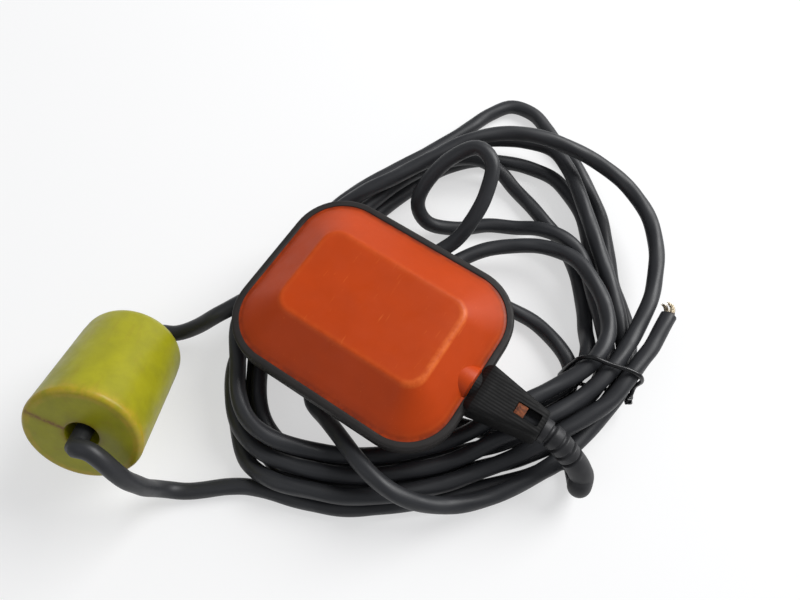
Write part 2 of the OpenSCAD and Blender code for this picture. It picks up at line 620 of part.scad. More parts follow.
// Push-on lugs and the three wires between the cable and the switch
lug_h = 3;
lug_tops = [common_x, open_x + terminal_t, closed_x];
module terminal_lugs() {
    color("silver") at_float() for (x = lug_tops) difference() {
        block([x - lug_out, -terminal_w / 2 - lug_out, tab_z - 0.6],
            [x + terminal_t + lug_out, terminal_w / 2 + lug_out, tab_z + lug_h]);
        block([x - slot_gap, -terminal_w / 2 - slot_gap, tab_z],
            [x + terminal_t + slot_gap, terminal_w / 2 + slot_gap, tab_z + 3 * lug_h]);
    }
}
core_r = core_d / 2;
wire_sides = 8;
lug_y = terminal_w / 2 + lug_out;
wire_z = tab_z + 1;
core_row = 1.9;
side_y = switch_w / 2 + core_r + 1.8;
switch_end_x = switch_x + switch_l;
function wire_points(lug_x, side) = [
    [inner_start_x, neck_y + side * core_row, mid_z], [inner_start_x - 0.8, neck_y + side * core_row, mid_z],
    [switch_end_x + 2, side * (side_y - 1.2), mid_z - 0.8], [switch_end_x - 1, side * side_y, mid_z - 2.4],
    [lug_x + 5, side * side_y, wire_z + 2.4], [lug_x + 1.4, side * side_y, wire_z + 0.4],
    [lug_x + terminal_t / 2, side * (lug_y + 1.6), wire_z], [lug_x + terminal_t / 2, side * lug_y, wire_z]];
module wire(points, tint) {
    color(tint) at_float() tube(points, same_r(points, core_r), wire_sides);
}
module wire_brown() {
    wire(wire_points(common_x, -1), "saddlebrown");
}
module wire_blue() {
    wire(wire_points(open_x + terminal_t, 1), "royalblue");
}
module wire_black() {
    end_x = closed_x + terminal_t + lug_out;
    end_z = wire_z + 0.6;
    wire([[inner_start_x, neck_y, mid_z - core_row], [inner_start_x - 0.9, neck_y, mid_z - core_row],
        [switch_end_x + 2.2, 0, mid_z - 3.6], [switch_end_x + 0.6, 0, end_z + 0.4],
        [end_x + 1.6, 0, end_z], [end_x, 0, end_z]], "black");
}

// Ribbed bend relief from the neck down to the cable on the floor
relief_points = [[0, neck_y, mid_z], [1.6, neck_y, mid_z], [4.6, -2.4, mid_z - 0.2],
    [7.8, -2.7, mid_z - 1.3], [11, -3.2, mid_z - 3.3], [14.4, -3.6, mid_z - 5.9],
    [17.6, -4.1, mid_z - 8.5], [20.2, -4.8, mid_z - 11.2], [22, -5.5, mid_z - 13.8]];
relief_root_r = 5.1;
relief_tip_r = 5.1;
relief_rib = 0.5;
relief_end_l = 2.5;
relief_rings = 24;
relief_sides = 12;
function point_at(p, t) =
    let (i = min(floor(t), len(p) - 2), u = t - i) p[i] * (1 - u) + p[i + 1] * u;
module bend_relief() {
    from_neck = [for (p = relief_points) p + [neck_end_x, 0, 0]];
    route = concat(from_neck, [lead_points[0] - relief_end_l * heading(lead_points, 0), lead_points[0]]);
    steps = [for (i = [0:relief_rings]) point_at(route, i * (len(route) - 1) / relief_rings)];
    radii = [for (i = [0:relief_rings])
        let (t = i / relief_rings) relief_root_r * (1 - t) + relief_tip_r * t - relief_rib * (i % 2)];
    color([0.16, 0.16, 0.17]) at_float() tube(steps, radii, relief_sides);
}

// Cable stretches
module cable_lead() {
    color([0.18, 0.18, 0.19]) at_float() tube(lead_route, same_r(lead_route, cable_r), lead_sides);
}
module cable_rear() {
    color([0.18, 0.18, 0.19]) at_float() tube(rear_route, same_r(rear_route, cable_r), lead_sides);
}
module cable_coil() {
    echo(cable_length_mm = route_l(lead_route) + route_l(rear_route) + route_l(coil_route));
    echo(coil_gap_mm = least_self_gap(coil_route) - cable_d);
    color([0.18, 0.18, 0.19]) at_float() tube(coil_route, same_r(coil_route, cable_r), cable_sides);
}
// Straight end of the sheath, its cores and their bare copper, along +Y
core_angles = [90, 210, 330];
core_ring_r = core_d / sqrt(3) + 0.1;
module at_cable_end(y) {
    at_float() translate(sheath_end + [0, y, 0]) rotate([-90, 0, 0]) children();
}
module cable_end() {
    color([0.18, 0.18, 0.19]) at_cable_end(0) cylinder(r = cable_r, h = cable_end_l);
}
module end_cores() {
    color("saddlebrown") at_cable_end(cable_end_l) for (a = core_angles) rotate(a)
        translate([core_ring_r, 0, 0]) cylinder(r = core_r, h = core_out - copper_out);
}
module core_copper() {
    color("peru") at_cable_end(cable_end_l + core_out - copper_out) for (a = core_angles) rotate(a)
        translate([core_ring_r, 0, 0]) cylinder(r = core_r * 0.55, h = copper_out);
}

// Wire tie round the bundle with its twisted end
tie_r = 0.7;
tie_points = [
    [101.4, 32.8, 8.2], [100.8, 35.6, 6.2], [98.4, 37.4, 1.8], [94, 36.8, 0.8], [78, 31, 0.8],
    [75, 29.8, 1.8], [73.2, 29.3, 4.8], [73.3, 29.7, 9], [73.9, 30.8, 13.5], [74.9, 32.3, 18],
    [76.3, 33.6, 22.2], [79.8, 35, 25.1], [86.4, 36.2, 25.3], [91, 37.3, 25.3], [94.4, 38.2, 25.3],
    [98.7, 38.9, 24.3], [101, 39.2, 20], [100.6, 38.8, 12], [101.2, 36.6, 9.4], [102.2, 33, 9.8]];
module twist_tie() {
    color([0.1, 0.1, 0.1]) at_float() tube(tie_points, same_r(tie_points, tie_r), wire_sides);
}

// Counterweight, built along its own axis from the rear face
weight_front_r = weight_front_d / 2;
bore_r = weight_bore_d / 2;
liner_t = 1.5;
liner_r = bore_r + liner_t;
front_round = 2;
cap_t = 3;
ballast_gap = 0.2;
grip_z = 24;
collar_h = 4;
pocket_h = collar_h + 2 * clear;
function outer_r(z) = weight_rear_r + (weight_front_r - weight_rear_r) * z / weight_l;
module weight_solid() {
    rotate_extrude() {
        polygon([[0, 0], [weight_rear_r - weight_fillet, 0], [outer_r(weight_fillet), weight_fillet],
            [outer_r(weight_l - front_round), weight_l - front_round],
            [weight_front_r - front_round, weight_l], [0, weight_l]]);
        translate([weight_rear_r - weight_fillet, weight_fillet]) circle(weight_fillet);
        translate([outer_r(weight_l - front_round) - front_round, weight_l - front_round])
            circle(front_round);
    }
}
module weight_jacket() {
    color([0.66, 0.64, 0.16]) in_weight() {
        difference() {
            weight_solid();
            translate([0, 0, -1]) cylinder(r = outer_r(0) - weight_wall, h = cap_t + 1);
            translate([0, 0, cap_t - skin]) cylinder(r1 = outer_r(0) - weight_wall,
                r2 = outer_r(weight_l) - weight_wall, h = weight_l - weight_wall - cap_t + skin);
            translate([0, 0, -1]) cylinder(r = bore_r, h = weight_l + 2);
        }
        difference() {
            translate([0, 0, grip_z + pocket_h / 2])
            cylinder(r = liner_r, h = weight_l - weight_wall - grip_z - pocket_h / 2 + skin);
            translate([0, 0, -1]) cylinder(r = bore_r, h = weight_l + 2);
        }
    }
}
module weight_ballast() {
    color("dimgray") in_weight() translate([0, 0, cap_t]) difference() {
        cylinder(r = outer_r(0) - weight_wall - ballast_gap,
            h = weight_l - weight_wall - cap_t - ballast_gap);
        translate([0, 0, -1]) cylinder(r = liner_r + ballast_gap, h = weight_l + 2);
    }
}
module weight_cap() {
    color([0.6, 0.58, 0.14]) in_weight() difference() {
        union() {
            cylinder(r = outer_r(0) - weight_wall - 0.1, h = cap_t);
            cylinder(r = liner_r, h = grip_z - pocket_h / 2);
        }
        translate([0, 0, -1]) cylinder(r = bore_r, h = weight_l);
        difference() {
            translate([0, 0, -1]) cylinder(r = weight_rear_r, h = weight_fillet);
            weight_solid();
        }
    }
}
// Split grip on the cable inside the weight, with the spring ring that closes it
grip_l = 16;
grip_r = bore_r - clear;
ring_r = 0.6;
split_w = 1.2;
ring_z = grip_z + grip_l / 2 - 2.4;
module cable_grip() {
    color("gray") in_weight() difference() {
        union() {
            translate([0, 0, grip_z - grip_l / 2]) cylinder(r = grip_r, h = grip_l);
            translate([0, 0, grip_z - collar_h / 2]) cylinder(r = liner_r - clear, h = collar_h);
        }
        cylinder(r = cable_r + run, h = weight_l);
        block([0, -split_w / 2, 0], [weight_l, split_w / 2, weight_l]);
        translate([0, 0, ring_z - ring_r]) difference() {
            cylinder(r = grip_r + 1, h = 2 * ring_r);
            cylinder(r = grip_r - 2 * ring_r, h = 2 * ring_r);
        }
    }
}
module grip_ring() {
    color("silver") in_weight() translate([0, 0, ring_z]) rotate_extrude()
        translate([grip_r - ring_r, 0]) circle(ring_r - 0.05);
}

upper_shell();
lower_shell();
rim_band();
neck_housing();
retaining_clip();
neck_grommet();
seal_sleeve();
inner_cable();
foam_blocks();
capsule_base();
capsule_gasket();
capsule_cover();
capsule_screws();
steel_ball();
lever();
lever_pin();
switch_body();
switch_cover();
plunger();
contact_blade();
common_terminal();
open_terminal();
closed_terminal();
terminal_lugs();
wire_brown();
wire_blue();
wire_black();
bend_relief();
cable_lead();
cable_rear();
cable_coil();
cable_end();
end_cores();
core_copper();
twist_tie();
cable_grip();
grip_ring();
weight_jacket();
weight_ballast();
weight_cap();
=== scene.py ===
import json
import math

import bmesh
import bpy
import numpy as np
from bpy.props import FloatProperty, FloatVectorProperty, IntProperty, PointerProperty
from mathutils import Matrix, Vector


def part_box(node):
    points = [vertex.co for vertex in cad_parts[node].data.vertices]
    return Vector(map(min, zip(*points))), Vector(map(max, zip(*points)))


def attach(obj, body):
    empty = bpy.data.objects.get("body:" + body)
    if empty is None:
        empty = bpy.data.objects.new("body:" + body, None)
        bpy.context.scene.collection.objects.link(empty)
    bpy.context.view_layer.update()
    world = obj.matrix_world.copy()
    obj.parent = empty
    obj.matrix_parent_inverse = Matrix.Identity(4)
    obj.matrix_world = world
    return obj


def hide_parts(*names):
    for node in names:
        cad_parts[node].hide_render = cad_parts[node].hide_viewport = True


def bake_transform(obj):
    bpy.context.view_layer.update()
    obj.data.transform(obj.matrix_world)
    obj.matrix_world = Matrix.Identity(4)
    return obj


bl_info = {
    "name": "Cable float switch",
    "version": (1, 0, 0),
    "blender": (4, 5, 0),
    "location": "View3D > Sidebar > Float switch",
    "description": "Builds the float, neck, counterweight and tied cable of a level switch",
    "category": "Add Mesh",
}

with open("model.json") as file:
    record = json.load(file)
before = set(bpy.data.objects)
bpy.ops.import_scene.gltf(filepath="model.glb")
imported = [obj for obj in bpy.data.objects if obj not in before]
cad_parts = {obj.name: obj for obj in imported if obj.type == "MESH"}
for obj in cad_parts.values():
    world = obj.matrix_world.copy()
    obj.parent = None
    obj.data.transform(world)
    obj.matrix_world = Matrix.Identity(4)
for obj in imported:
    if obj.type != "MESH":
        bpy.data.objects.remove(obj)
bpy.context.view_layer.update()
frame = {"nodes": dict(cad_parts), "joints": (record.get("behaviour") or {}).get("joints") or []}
nodes = frame["nodes"]
joints = {j["name"]: j for j in frame["joints"]}

MM = 0.001
shell_low, shell_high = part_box("upper_shell")
FLOAT_X = (shell_low.x + shell_high.x) / 2
FLOAT_Y = (shell_low.y + shell_high.y) / 2
MID_Z = shell_low.z

# The counterweight's own axis: Z runs from its rear face to its front face
WEIGHT_GRIP_MM = 24
WEIGHT_DIR = np.array(joints["weight_turn"]["axis"], float)
WEIGHT_DIR /= np.linalg.norm(WEIGHT_DIR)
WEIGHT_REAR = np.array(joints["weight_turn"]["pos_m"], float) - WEIGHT_GRIP_MM * MM * WEIGHT_DIR
WEIGHT_SIDE = np.cross([0, 0, 1], WEIGHT_DIR)
WEIGHT_SIDE /= np.linalg.norm(WEIGHT_SIDE)
WEIGHT_UP = np.cross(WEIGHT_SIDE, WEIGHT_DIR)

# Route of the cable in millimetres from the float's centre on the floor
LEAD = [
    # down out of the bend relief and back under the coil
    [99.9, -8.2, 10.5], [99.9, -8, 8.2], [99, -6.2, 5.5], [97, -3.2, 4], [94.2, -0.6, 3.4],
    [91, -1.4, 3.4], [87.2, -7.2, 3.4], [82.6, -14, 3.4], [74.8, -22.3, 3.4], [65.6, -32, 3.4],
    [55.5, -42.1, 3.4], [42.4, -53.5, 3.4], [28.3, -64, 3.4], [13.1, -70.6, 3.4],
    [1.2, -74.4, 3.4],
    # out on the floor, then up and over into the front of the weight
    [-8.1, -78, 3.4], [-13.8, -81.8, 3.4], [-20.9, -87.8, 3.4], [-27.4, -92.9, 3.6],
    [-32, -95.8, 6], [-35, -98, 11], [-35.9, -99.4, 18], [-36.2, -99.9, 26], [-37.8, -100.2, 34],
    [-41, -99.8, 40.6], [-44.8, -99, 45], [-48.6, -98.8, 47.4], [-51.8, -99.9, 47.8],
    [-54.2, -100.8, 46.4]]
REAR = [
    # from the rear of the weight under the float's end
    [-81.2, -51.6, 9.8], [-77.6, -48.2, 8.6], [-71, -44.6, 9], [-64, -37.4, 12.2],
    [-56.6, -28.7, 18.8], [-51.2, -19.3, 20.6], [-44.5, -8, 19], [-38.5, -1, 15.1],
    [-33, 4.5, 11.2], [-26, 10.5, 8.5], [-14, 19, 6], [0, 29, 4], [14, 37.5, 3.5], [28, 43, 3.5],
    [42, 45, 3.5], [54, 45, 3.5], [66, 41, 3.5], [75, 35, 3.5]]
LOOP_1 = [
    # small loop under the float
    [79, 27, 3.5], [74.5, 17.5, 3.5], [65, 10.5, 3.5], [54, 5, 3.5], [42, 3.5, 3.5], [29, 6, 3.5],
    [17.5, 13, 4], [10, 25, 10], [8, 38, 12], [11, 49, 11], [18, 60, 11], [30, 70, 12],
    [42, 75, 14], [54, 74.5, 17], [64.5, 69, 18.5], [74, 61.5, 18.5], [80.5, 52, 18.5],
    [82, 42, 18.5]]
LOOP_2 = [
    # big loop, top layer
    [80.5, 33, 18.5], [74.5, 20.5, 18.4], [66.5, 7, 18.5], [59.5, -4.5, 16.3], [54, -14, 12.3],
    [41.5, -29.5, 11], [27.7, -41.8, 11], [15, -49.5, 11], [2, -55.5, 14.5], [-10, -59, 18],
    [-21, -57.5, 18.5], [-30, -51.5, 18.4], [-37.5, -42, 18.4], [-46.2, -32, 17.8],
    [-51.4, -23, 13], [-51, -14, 10.2], [-50.7, 0, 9.7], [-50.6, 15, 9.6], [-49.5, 30, 10.2],
    [-47, 42, 12.9], [-41, 53, 17], [-32.5, 66, 20], [-23, 82, 23], [-14, 97, 25], [0, 110.2, 26],
    [14.5, 116.3, 26], [30.8, 120.4, 23], [47, 121, 20], [60.6, 117.2, 18.5], [72, 109.2, 18.5],
    [80, 98.8, 18.5], [85, 88, 18.5], [89, 74, 18.5], [90, 59, 18.5], [89.8, 46, 18.5]]
LOOP_3 = [
    # big loop, middle layer
    [88.3, 34, 18.5], [84.8, 22, 18.4], [78, 8.5, 18.2], [71.3, -2, 17.6], [65.3, -10.3, 15.7],
    [55.3, -25.6, 10.8], [42, -39.5, 10.5], [28, -50.9, 10.2], [15, -57.7, 10.8], [1, -62.8, 11],
    [-12, -64.6, 11.3], [-24, -61, 11.3], [-35.3, -50.8, 11.2], [-42, -39, 11], [-43.4, -27, 10.7],
    [-43.3, -12, 9.9], [-43.3, 10, 9.7], [-41.8, 30, 9.9], [-39, 47, 9.8], [-36.3, 58, 10.4],
    [-33, 68, 12], [-26, 82, 12.5], [-18.5, 93, 11.5], [-9, 100, 11], [1, 102, 7.5],
    [11, 100, 3.8], [22.5, 95.9, 3.5], [33.8, 91.2, 3.5], [43.4, 86.8, 3.5], [53, 80, 3.5],
    [60.6, 72, 3.5], [67.2, 63.2, 3.5], [73, 53, 5], [77.2, 44, 9.5]]
LOOP_4 = [
    # small loop that stands up behind the float
    [79.5, 34, 11], [76, 22, 11], [68, 9, 10.8], [56, 0, 10.8], [41, -4, 11], [26, -3, 11],
    [12, 5, 11], [3, 17, 11], [-1, 30, 12], [1, 43, 14], [6, 54, 17], [8.5, 64, 24], [8, 74, 30],
    [4, 85, 36], [-5, 88, 37], [-13, 81, 32], [-18, 70, 25], [-18, 61, 15], [-11, 59.5, 8],
    [0, 66, 4], [12, 76, 3.8], [24, 81.5, 5], [34, 84, 9.6], [44, 84.5, 11.3], [53, 82, 11],
    [60.2, 76, 11], [68, 67.5, 11], [76.7, 57.5, 11], [84.6, 46.5, 11]]
LOOP_5 = [
    # big loop, inside on the floor
    [87.8, 35, 11], [86, 22, 10.7], [80.5, 10, 10.6], [73.5, -1, 10.4], [66.5, -10, 8.5],
    [55, -21, 3.5], [41.5, -34.3, 3.5], [27.7, -46.2, 3.5], [16, -52.8, 3.5], [2, -58, 3.8],
    [-12, -56.3, 9.8], [-22, -50, 11], [-29.5, -40.5, 11], [-35, -29, 9.2], [-36.6, -19, 5.8],
    [-39.2, -6, 3.4], [-39.6, 10, 3.4], [-38.3, 30, 3.4], [-36, 46, 3.5], [-33.3, 58, 3.5],
    [-30, 69, 3.5], [-26.5, 81, 3.5], [-21, 93, 3.5], [-11, 104, 3.5], [0, 110, 3.5],
    [12, 114, 3.5], [24, 115, 3.5], [35, 111, 3.5], [46, 103.5, 3.5], [55.8, 91.3, 3.5],
    [64.6, 79, 3.5], [73.3, 68.3, 3.5], [80.5, 58, 3.5], [85.5, 47, 3.5]]
TURN_BACK = [
    # turn under the float and over the lower strands to the tie
    [88, 35, 3.5], [86.3, 22, 3.5], [80, 9.2, 3.3], [70.5, -0.5, 3.5], [57.5, -8.2, 3.5],
    [44, -12.5, 3.5], [30, -13.5, 3.5], [15, -12, 3.5], [1, -11, 3.5], [-9, -17, 3.5],
    [-12, -27, 4], [-7, -36, 6], [3, -40, 11], [13, -43.5, 18], [23, -47.5, 23], [33, -50, 24],
    [44, -50.5, 22], [54.5, -47, 17], [64.3, -40.3, 12.5], [73.2, -31, 11], [80, -21, 11],
    [85.3, -11.5, 11], [89.6, -1, 11], [92.6, 10, 11], [95, 21, 11], [96.3, 32, 10.8]]
LOOP_6 = [
    # big loop the other way round, from the middle layer down to the floor
    [95.9, 40, 11], [92, 48, 11], [86.9, 56.7, 11], [79.8, 66.3, 11], [71.4, 75.4, 12],
    [62.4, 85, 12], [53, 94.8, 12], [40, 108, 12], [28, 118.5, 12], [17, 123.5, 11.5],
    [4, 120.5, 11], [-10, 112.5, 11], [-22, 101, 10], [-31.1, 84.9, 8.4], [-37.7, 68.9, 6.4],
    [-43.3, 52, 4], [-46.2, 34, 3.4], [-47, 12, 3.4], [-47, -6, 3.4], [-45.8, -17, 3.4],
    [-42, -26.5, 3.4], [-37, -36.2, 3.4], [-27, -49.5, 3.4], [-14.4, -61, 3.4], [0, -65.8, 3.4],
    [14, -62.2, 3.5], [28, -55, 3.5], [42.2, -44.3, 3.5], [55.5, -31.5, 3.5], [66.3, -20.2, 3.5],
    [77, -8.5, 3.5], [86.5, 6, 3.5], [93.1, 20, 3.5], [95.4, 34, 3.5]]
LOOP_7 = [
    # widest loop on the floor, with the arch behind the bundle
    [95.3, 46, 3.5], [92.4, 56.8, 3.5], [87.2, 65.4, 3.5], [80, 72.7, 3.5], [73.6, 79.2, 3.5],
    [67, 88.6, 3.5], [60, 98.8, 3.5], [51.5, 109.5, 3.5], [40.5, 119, 3.5], [29, 128, 3.5],
    [18, 133, 3.5], [8, 138.5, 3.5], [-2, 143, 3.5], [-13, 141, 3.5], [-19.8, 131, 3.5],
    [-23.8, 119, 3.5], [-28.2, 106.7, 3.5], [-35.6, 89.2, 3.5], [-44.7, 69.6, 3.5],
    [-51.5, 51, 3.5], [-54.2, 32, 3.4], [-54.7, 12, 3.4], [-54.8, -8, 3.4], [-51.8, -23.5, 3.4],
    [-43.5, -39.5, 3.4], [-33.5, -53, 3.4], [-23.3, -64, 3.8], [-13, -70.5, 5.6], [0, -71, 9.7]]
TAIL = [
    # last run under the neck, up over the bundle and out
    [14.2, -66.2, 10.3], [28.3, -59.9, 10.1], [42.5, -49.5, 10.3], [55.5, -36.8, 10.3],
    [66.8, -22.2, 10.9], [76, -9.5, 13.8], [83.7, 4, 16.5], [89.6, 15, 18], [94.1, 25, 18.5],
    [95.9, 36, 18.5], [97.3, 47, 19], [98.1, 53, 19.9], [98.2, 57, 20]]
SHEATH_END = [98.2, 70.5, 20]

# The wire tie, from one twisted end to the other
TIE_Y = 38
TIE = [
    [101.4, 32.8, 8.2], [100.8, 35.6, 6.2], [98.4, 37.4, 1.8], [94, 36.8, 0.8], [78, 31, 0.8],
    [75, 29.8, 1.8], [73.2, 29.3, 4.8], [73.3, 29.7, 9], [73.9, 30.8, 13.5], [74.9, 32.3, 18],
    [76.3, 33.6, 22.2], [79.8, 35, 25.1], [86.4, 36.2, 25.3], [91, 37.3, 25.3], [94.4, 38.2, 25.3],
    [98.7, 38.9, 24.3], [101, 39.2, 20], [100.6, 38.8, 12], [101.2, 36.6, 9.4], [102.2, 33, 9.8]]

# Middle line of the bend relief, in the same millimetres
NECK_Y = -2.2
NECK_END = 76.7
RELIEF = [[NECK_END + x, y, z] for x, y, z in (
    (-0.6, NECK_Y, 29.3), (1.6, NECK_Y, 29.3), (4.6, -2.4, 29.1), (7.8, -2.7, 28), (11, -3.2, 26),
    (14.4, -3.6, 23.4), (17.6, -4.1, 20.8), (20.2, -4.8, 18.1), (22, -5.5, 15.5), (23.2, -8.4, 13),
    (23.2, -8.2, 10.5))]


def lifted(points):
    """The bundle rides up over the tie that goes round it."""
    reach, from_x, full_x, lift = 20, 56, 70, 2
    made = []
    for x, y, z in points:
        bump = (1 + math.cos(math.pi * (y - TIE_Y) / reach)) / 2 if abs(y - TIE_Y) < reach else 0
        near = min(1, max(0, (x - from_x) / (full_x - from_x)))
        made.append([x, y, z + lift * bump * near])
    return made


BACK = lifted(REAR)
COIL = lifted(LOOP_1 + LOOP_2 + LOOP_3 + LOOP_4 + LOOP_5 + TURN_BACK + LOOP_6 + LOOP_7 + TAIL)
COIL += [[98.2, 62, 20], SHEATH_END]
CORES = 3
CORE_R = 1.0
GOLDEN_ANGLE = 2.39996


def linear(text):
    """Linear RGBA of an sRGB hex value."""
    parts = [int(text[i:i + 2], 16) / 255 for i in (1, 3, 5)]
    return [c / 12.92 if c <= 0.04045 else ((c + 0.055) / 1.055) ** 2.4 for c in parts] + [1.0]


def colour_property(name, description, text):
    return FloatVectorProperty(name=name, description=description, subtype="COLOR", size=4,
                               min=0, max=1, default=linear(text))


def size_property(name, description, default, low, high):
    return FloatProperty(name=name, description=description, default=default, min=low, max=high,
                         precision=2)


# ---------------------------------------------------------------- settings

class FloatSettings(bpy.types.PropertyGroup):
    face_round: size_property("Face round", "Radius of the edge round the flat face, mm",
                              0.9, 0.3, 3)
    ledge: size_property("Ledge", "Flat ledge of the shell beside the band, mm", 1.2, 0.4, 2)
    band_lip: size_property("Band lip", "How far the band laps over the ledge, mm", 0.5, 0, 1)
    shell_colour: colour_property("Shell", "Orange of the shells", "#BB400A")
    # lighter orange for worn edges and scuffs, and for the painted highlight on the edges at the
    # neck end
    rubbed_and_highlight_colour: colour_property("Rubbed shell", "Lighter orange where edges are rubbed",
                                   "#DC6A2C")
    # colour of the painted shade in the crease beside the band
    crease_shade_colour: colour_property("Grime", "Dirt that gathers beside the band", "#64220E")
    band_colour: colour_property("Band", "Black of the rim band", "#1B1817")
    neck_colour: colour_property("Neck", "Black of the neck", "#121212")


class CableSettings(bpy.types.PropertyGroup):
    diameter: size_property("Cable", "Outer diameter of the cable, mm", 6.6, 5, 6.7)
    step: size_property("Step", "Distance between the cable's rings, mm", 2.0, 1, 4)
    lay: size_property("Lay", "Length of one turn of the cores under the sheath, mm", 62, 30, 120)
    lay_depth: size_property("Lay depth", "How far the cores show through the sheath, mm",
                             0.09, 0, 0.3)
    sides: IntProperty(name="Sides", description="Sides of the cable's tube",
                       default=18, min=8, max=32)
    sheath_colour: colour_property("Sheath", "Black of the cable's sheath", "#27282B")
    dust_colour: colour_property("Dust", "Grey bloom on the sheath", "#3B3C3E")
    tie_diameter: size_property("Tie", "Outer diameter of the wire tie, mm", 1.8, 1.2, 2.4)
    strands: IntProperty(name="Strands", description="Copper strands a core",
                         default=14, min=5, max=24)


class WeightSettings(bpy.types.PropertyGroup):
    length: size_property("Length", "Length of the counterweight, mm", 53, 48, 60)
    rear_diameter: size_property("Rear diameter", "Diameter at the rear, mm", 39.5, 38, 44)
    front_diameter: size_property("Front diameter", "Diameter at the front face, mm", 42.5, 38, 46)
    front_round: size_property("Front round", "Radius of the front edge, mm", 2, 1, 4)
    rear_round: size_property("Rear round", "Radius of the rear edge, mm", 6, 3, 7)
    bore: size_property("Bore", "Diameter of the bore, mm", 12, 10, 15)
    wall: size_property("Wall", "Wall of the plastic jacket, mm", 2, 1.5, 2.6)
    plastic_colour: colour_property("Plastic", "Yellow-green of the jacket", "#A09C10")
    shade_colour: colour_property("Shade", "Darker green of the jacket's mottles", "#8A8812")
    stain_colour: colour_property("Stain", "Brown stain in the weld line", "#7A5226")


class StageSettings(bpy.types.PropertyGroup):
    lens: FloatProperty(name="Lens", description="Focal length of the camera", default=31.5,
                        unit="CAMERA")
    key_power: FloatProperty(name="Key", description="Power of the large window light, W",
                             default=19)
    fill_power: FloatProperty(name="Fill", description="Power of the fill light, W", default=1.2)
    sky: FloatProperty(name="Sky", description="Strength of the even light all round", default=0.36)


class FloatSwitchSettings(bpy.types.PropertyGroup):
    body: PointerProperty(type=FloatSettings)
    cable: PointerProperty(type=CableSettings)
    weight: PointerProperty(type=WeightSettings)
    stage: PointerProperty(type=StageSettings)


# ---------------------------------------------------------------- meshes

def at_float(points):
    """Millimetres from the float's centre on the floor, as metres in the frame."""
    return np.asarray(points, float) * MM + [FLOAT_X, FLOAT_Y, 0]


def at_shell(points):
    """Millimetres from the middle of the float, at the height where its shells meet."""
    return np.asarray(points, float) * MM + [FLOAT_X, FLOAT_Y, MID_Z]


def at_weight(points):
    """Millimetres on the counterweight's own axes."""
    q = np.asarray(points, float) * MM
    return WEIGHT_REAR + q[:, :1] * WEIGHT_UP + q[:, 1:2] * WEIGHT_SIDE + q[:, 2:] * WEIGHT_DIR


def linked(name, data):
    """An object of that data, in the scene."""
    made = bpy.data.objects.new(name, data)
    bpy.context.scene.collection.objects.link(made)
    return made


def smooth(data, angle):
    """Shades the mesh smooth up to that angle."""
    data.shade_smooth()
    data.set_sharp_from_angle(angle=math.radians(angle))


def new_piece(name, points, faces, material, smooth_angle=40, attributes=None):
    """A mesh object at the origin, in metres."""
    data = bpy.data.meshes.new(name)
    data.from_pydata([tuple(p) for p in points], [], [tuple(int(i) for i in f) for f in faces])
    for key, values in (attributes or {}).items():
        values = np.asarray(values, np.float32)
        kind, field = ("FLOAT", "value") if values.ndim == 1 else ("FLOAT_VECTOR", "vector")
        data.attributes.new(key, kind, "POINT").data.foreach_set(field, values.ravel())
    data.materials.append(material)
    smooth(data, smooth_angle)
    data.validate()
    return linked(name, data)


def ring_faces(rings, count, closed_rings=False, flip=False):
    """Quads between rings of count points each, one after another."""
    faces = []
    pairs = [(i, i + 1) for i in range(rings - 1)] + ([(rings - 1, 0)] if closed_rings else [])
    for low, high in pairs:
        for k in range(count):
            m = (k + 1) % count
            quad = (low * count + k, low * count + m, high * count + m, high * count + k)
            faces.append(quad[::-1] if flip else quad)
    return faces


def closed_tube(rings, count):
    """Quads between the rings and a face over each end."""
    return ring_faces(rings, count) + [
        tuple(range(count))[::-1], tuple((rings - 1) * count + k for k in range(count))]


def merged(parts):
    """The points and faces of several parts, as one list of each."""
    points, faces, count = [], [], 0
    for part_points, part_faces in parts:
        faces += [tuple(i + count for i in face) for face in part_faces]
        points.append(part_points)
        count += len(part_points)
    return np.vstack(points), faces


def turned(profile, segments):
    """A closed profile of (radius, z) turned round Z: points and faces, outwards for a
    profile that runs anticlockwise seen with the radius to the right."""
    points = []
    for r, z in profile:
        for k in range(segments):
            a = 2 * math.pi * k / segments
            points.append((r * math.cos(a), r * math.sin(a), z))
    return np.array(points), ring_faces(len(profile), segments, closed_rings=True)


def arc(centre, radius, start, end, steps):
    """Points of an arc in degrees, its two ends included."""
    return [(centre[0] + radius * math.cos(math.radians(start + (end - start) * i / steps)),
             centre[1] + radius * math.sin(math.radians(start + (end - start) * i / steps)))
            for i in range(steps + 1)]


def part_way(first, second, start, end, at):
    """Between first, at start, and second, at end."""
    return (end - at) / (end - start) * first + (at - start) / (end - start) * second


def smooth_path(points, step):
    """A centripetal curve through the points, cut into equal steps."""
    p = np.asarray(points, float)
    p = np.vstack([2 * p[0] - p[1], p, 2 * p[-1] - p[-2]])
    fine = []
    for i in range(len(p) - 3):
        quad = p[i:i + 4]
        t = np.concatenate([[0], np.cumsum(np.linalg.norm(np.diff(quad, axis=0), axis=1) ** 0.5)])
        for s in np.linspace(t[1], t[2], 12, endpoint=False):
            a = [part_way(quad[k], quad[k + 1], t[k], t[k + 1], s) for k in range(3)]
            b = [part_way(a[k], a[k + 1], t[k], t[k + 2], s) for k in range(2)]
            fine.append(part_way(b[0], b[1], t[1], t[2], s))
    fine.append(p[-2])
    return even(np.array(fine), step)


def even(path, step):
    """The same path in equal steps of about that length."""
    along = np.concatenate([[0], np.cumsum(np.linalg.norm(np.diff(path, axis=0), axis=1))])
    count = max(2, int(round(along[-1] / step)) + 1)
    at = np.linspace(0, along[-1], count)
    return np.column_stack([np.interp(at, along, path[:, k]) for k in range(3)])


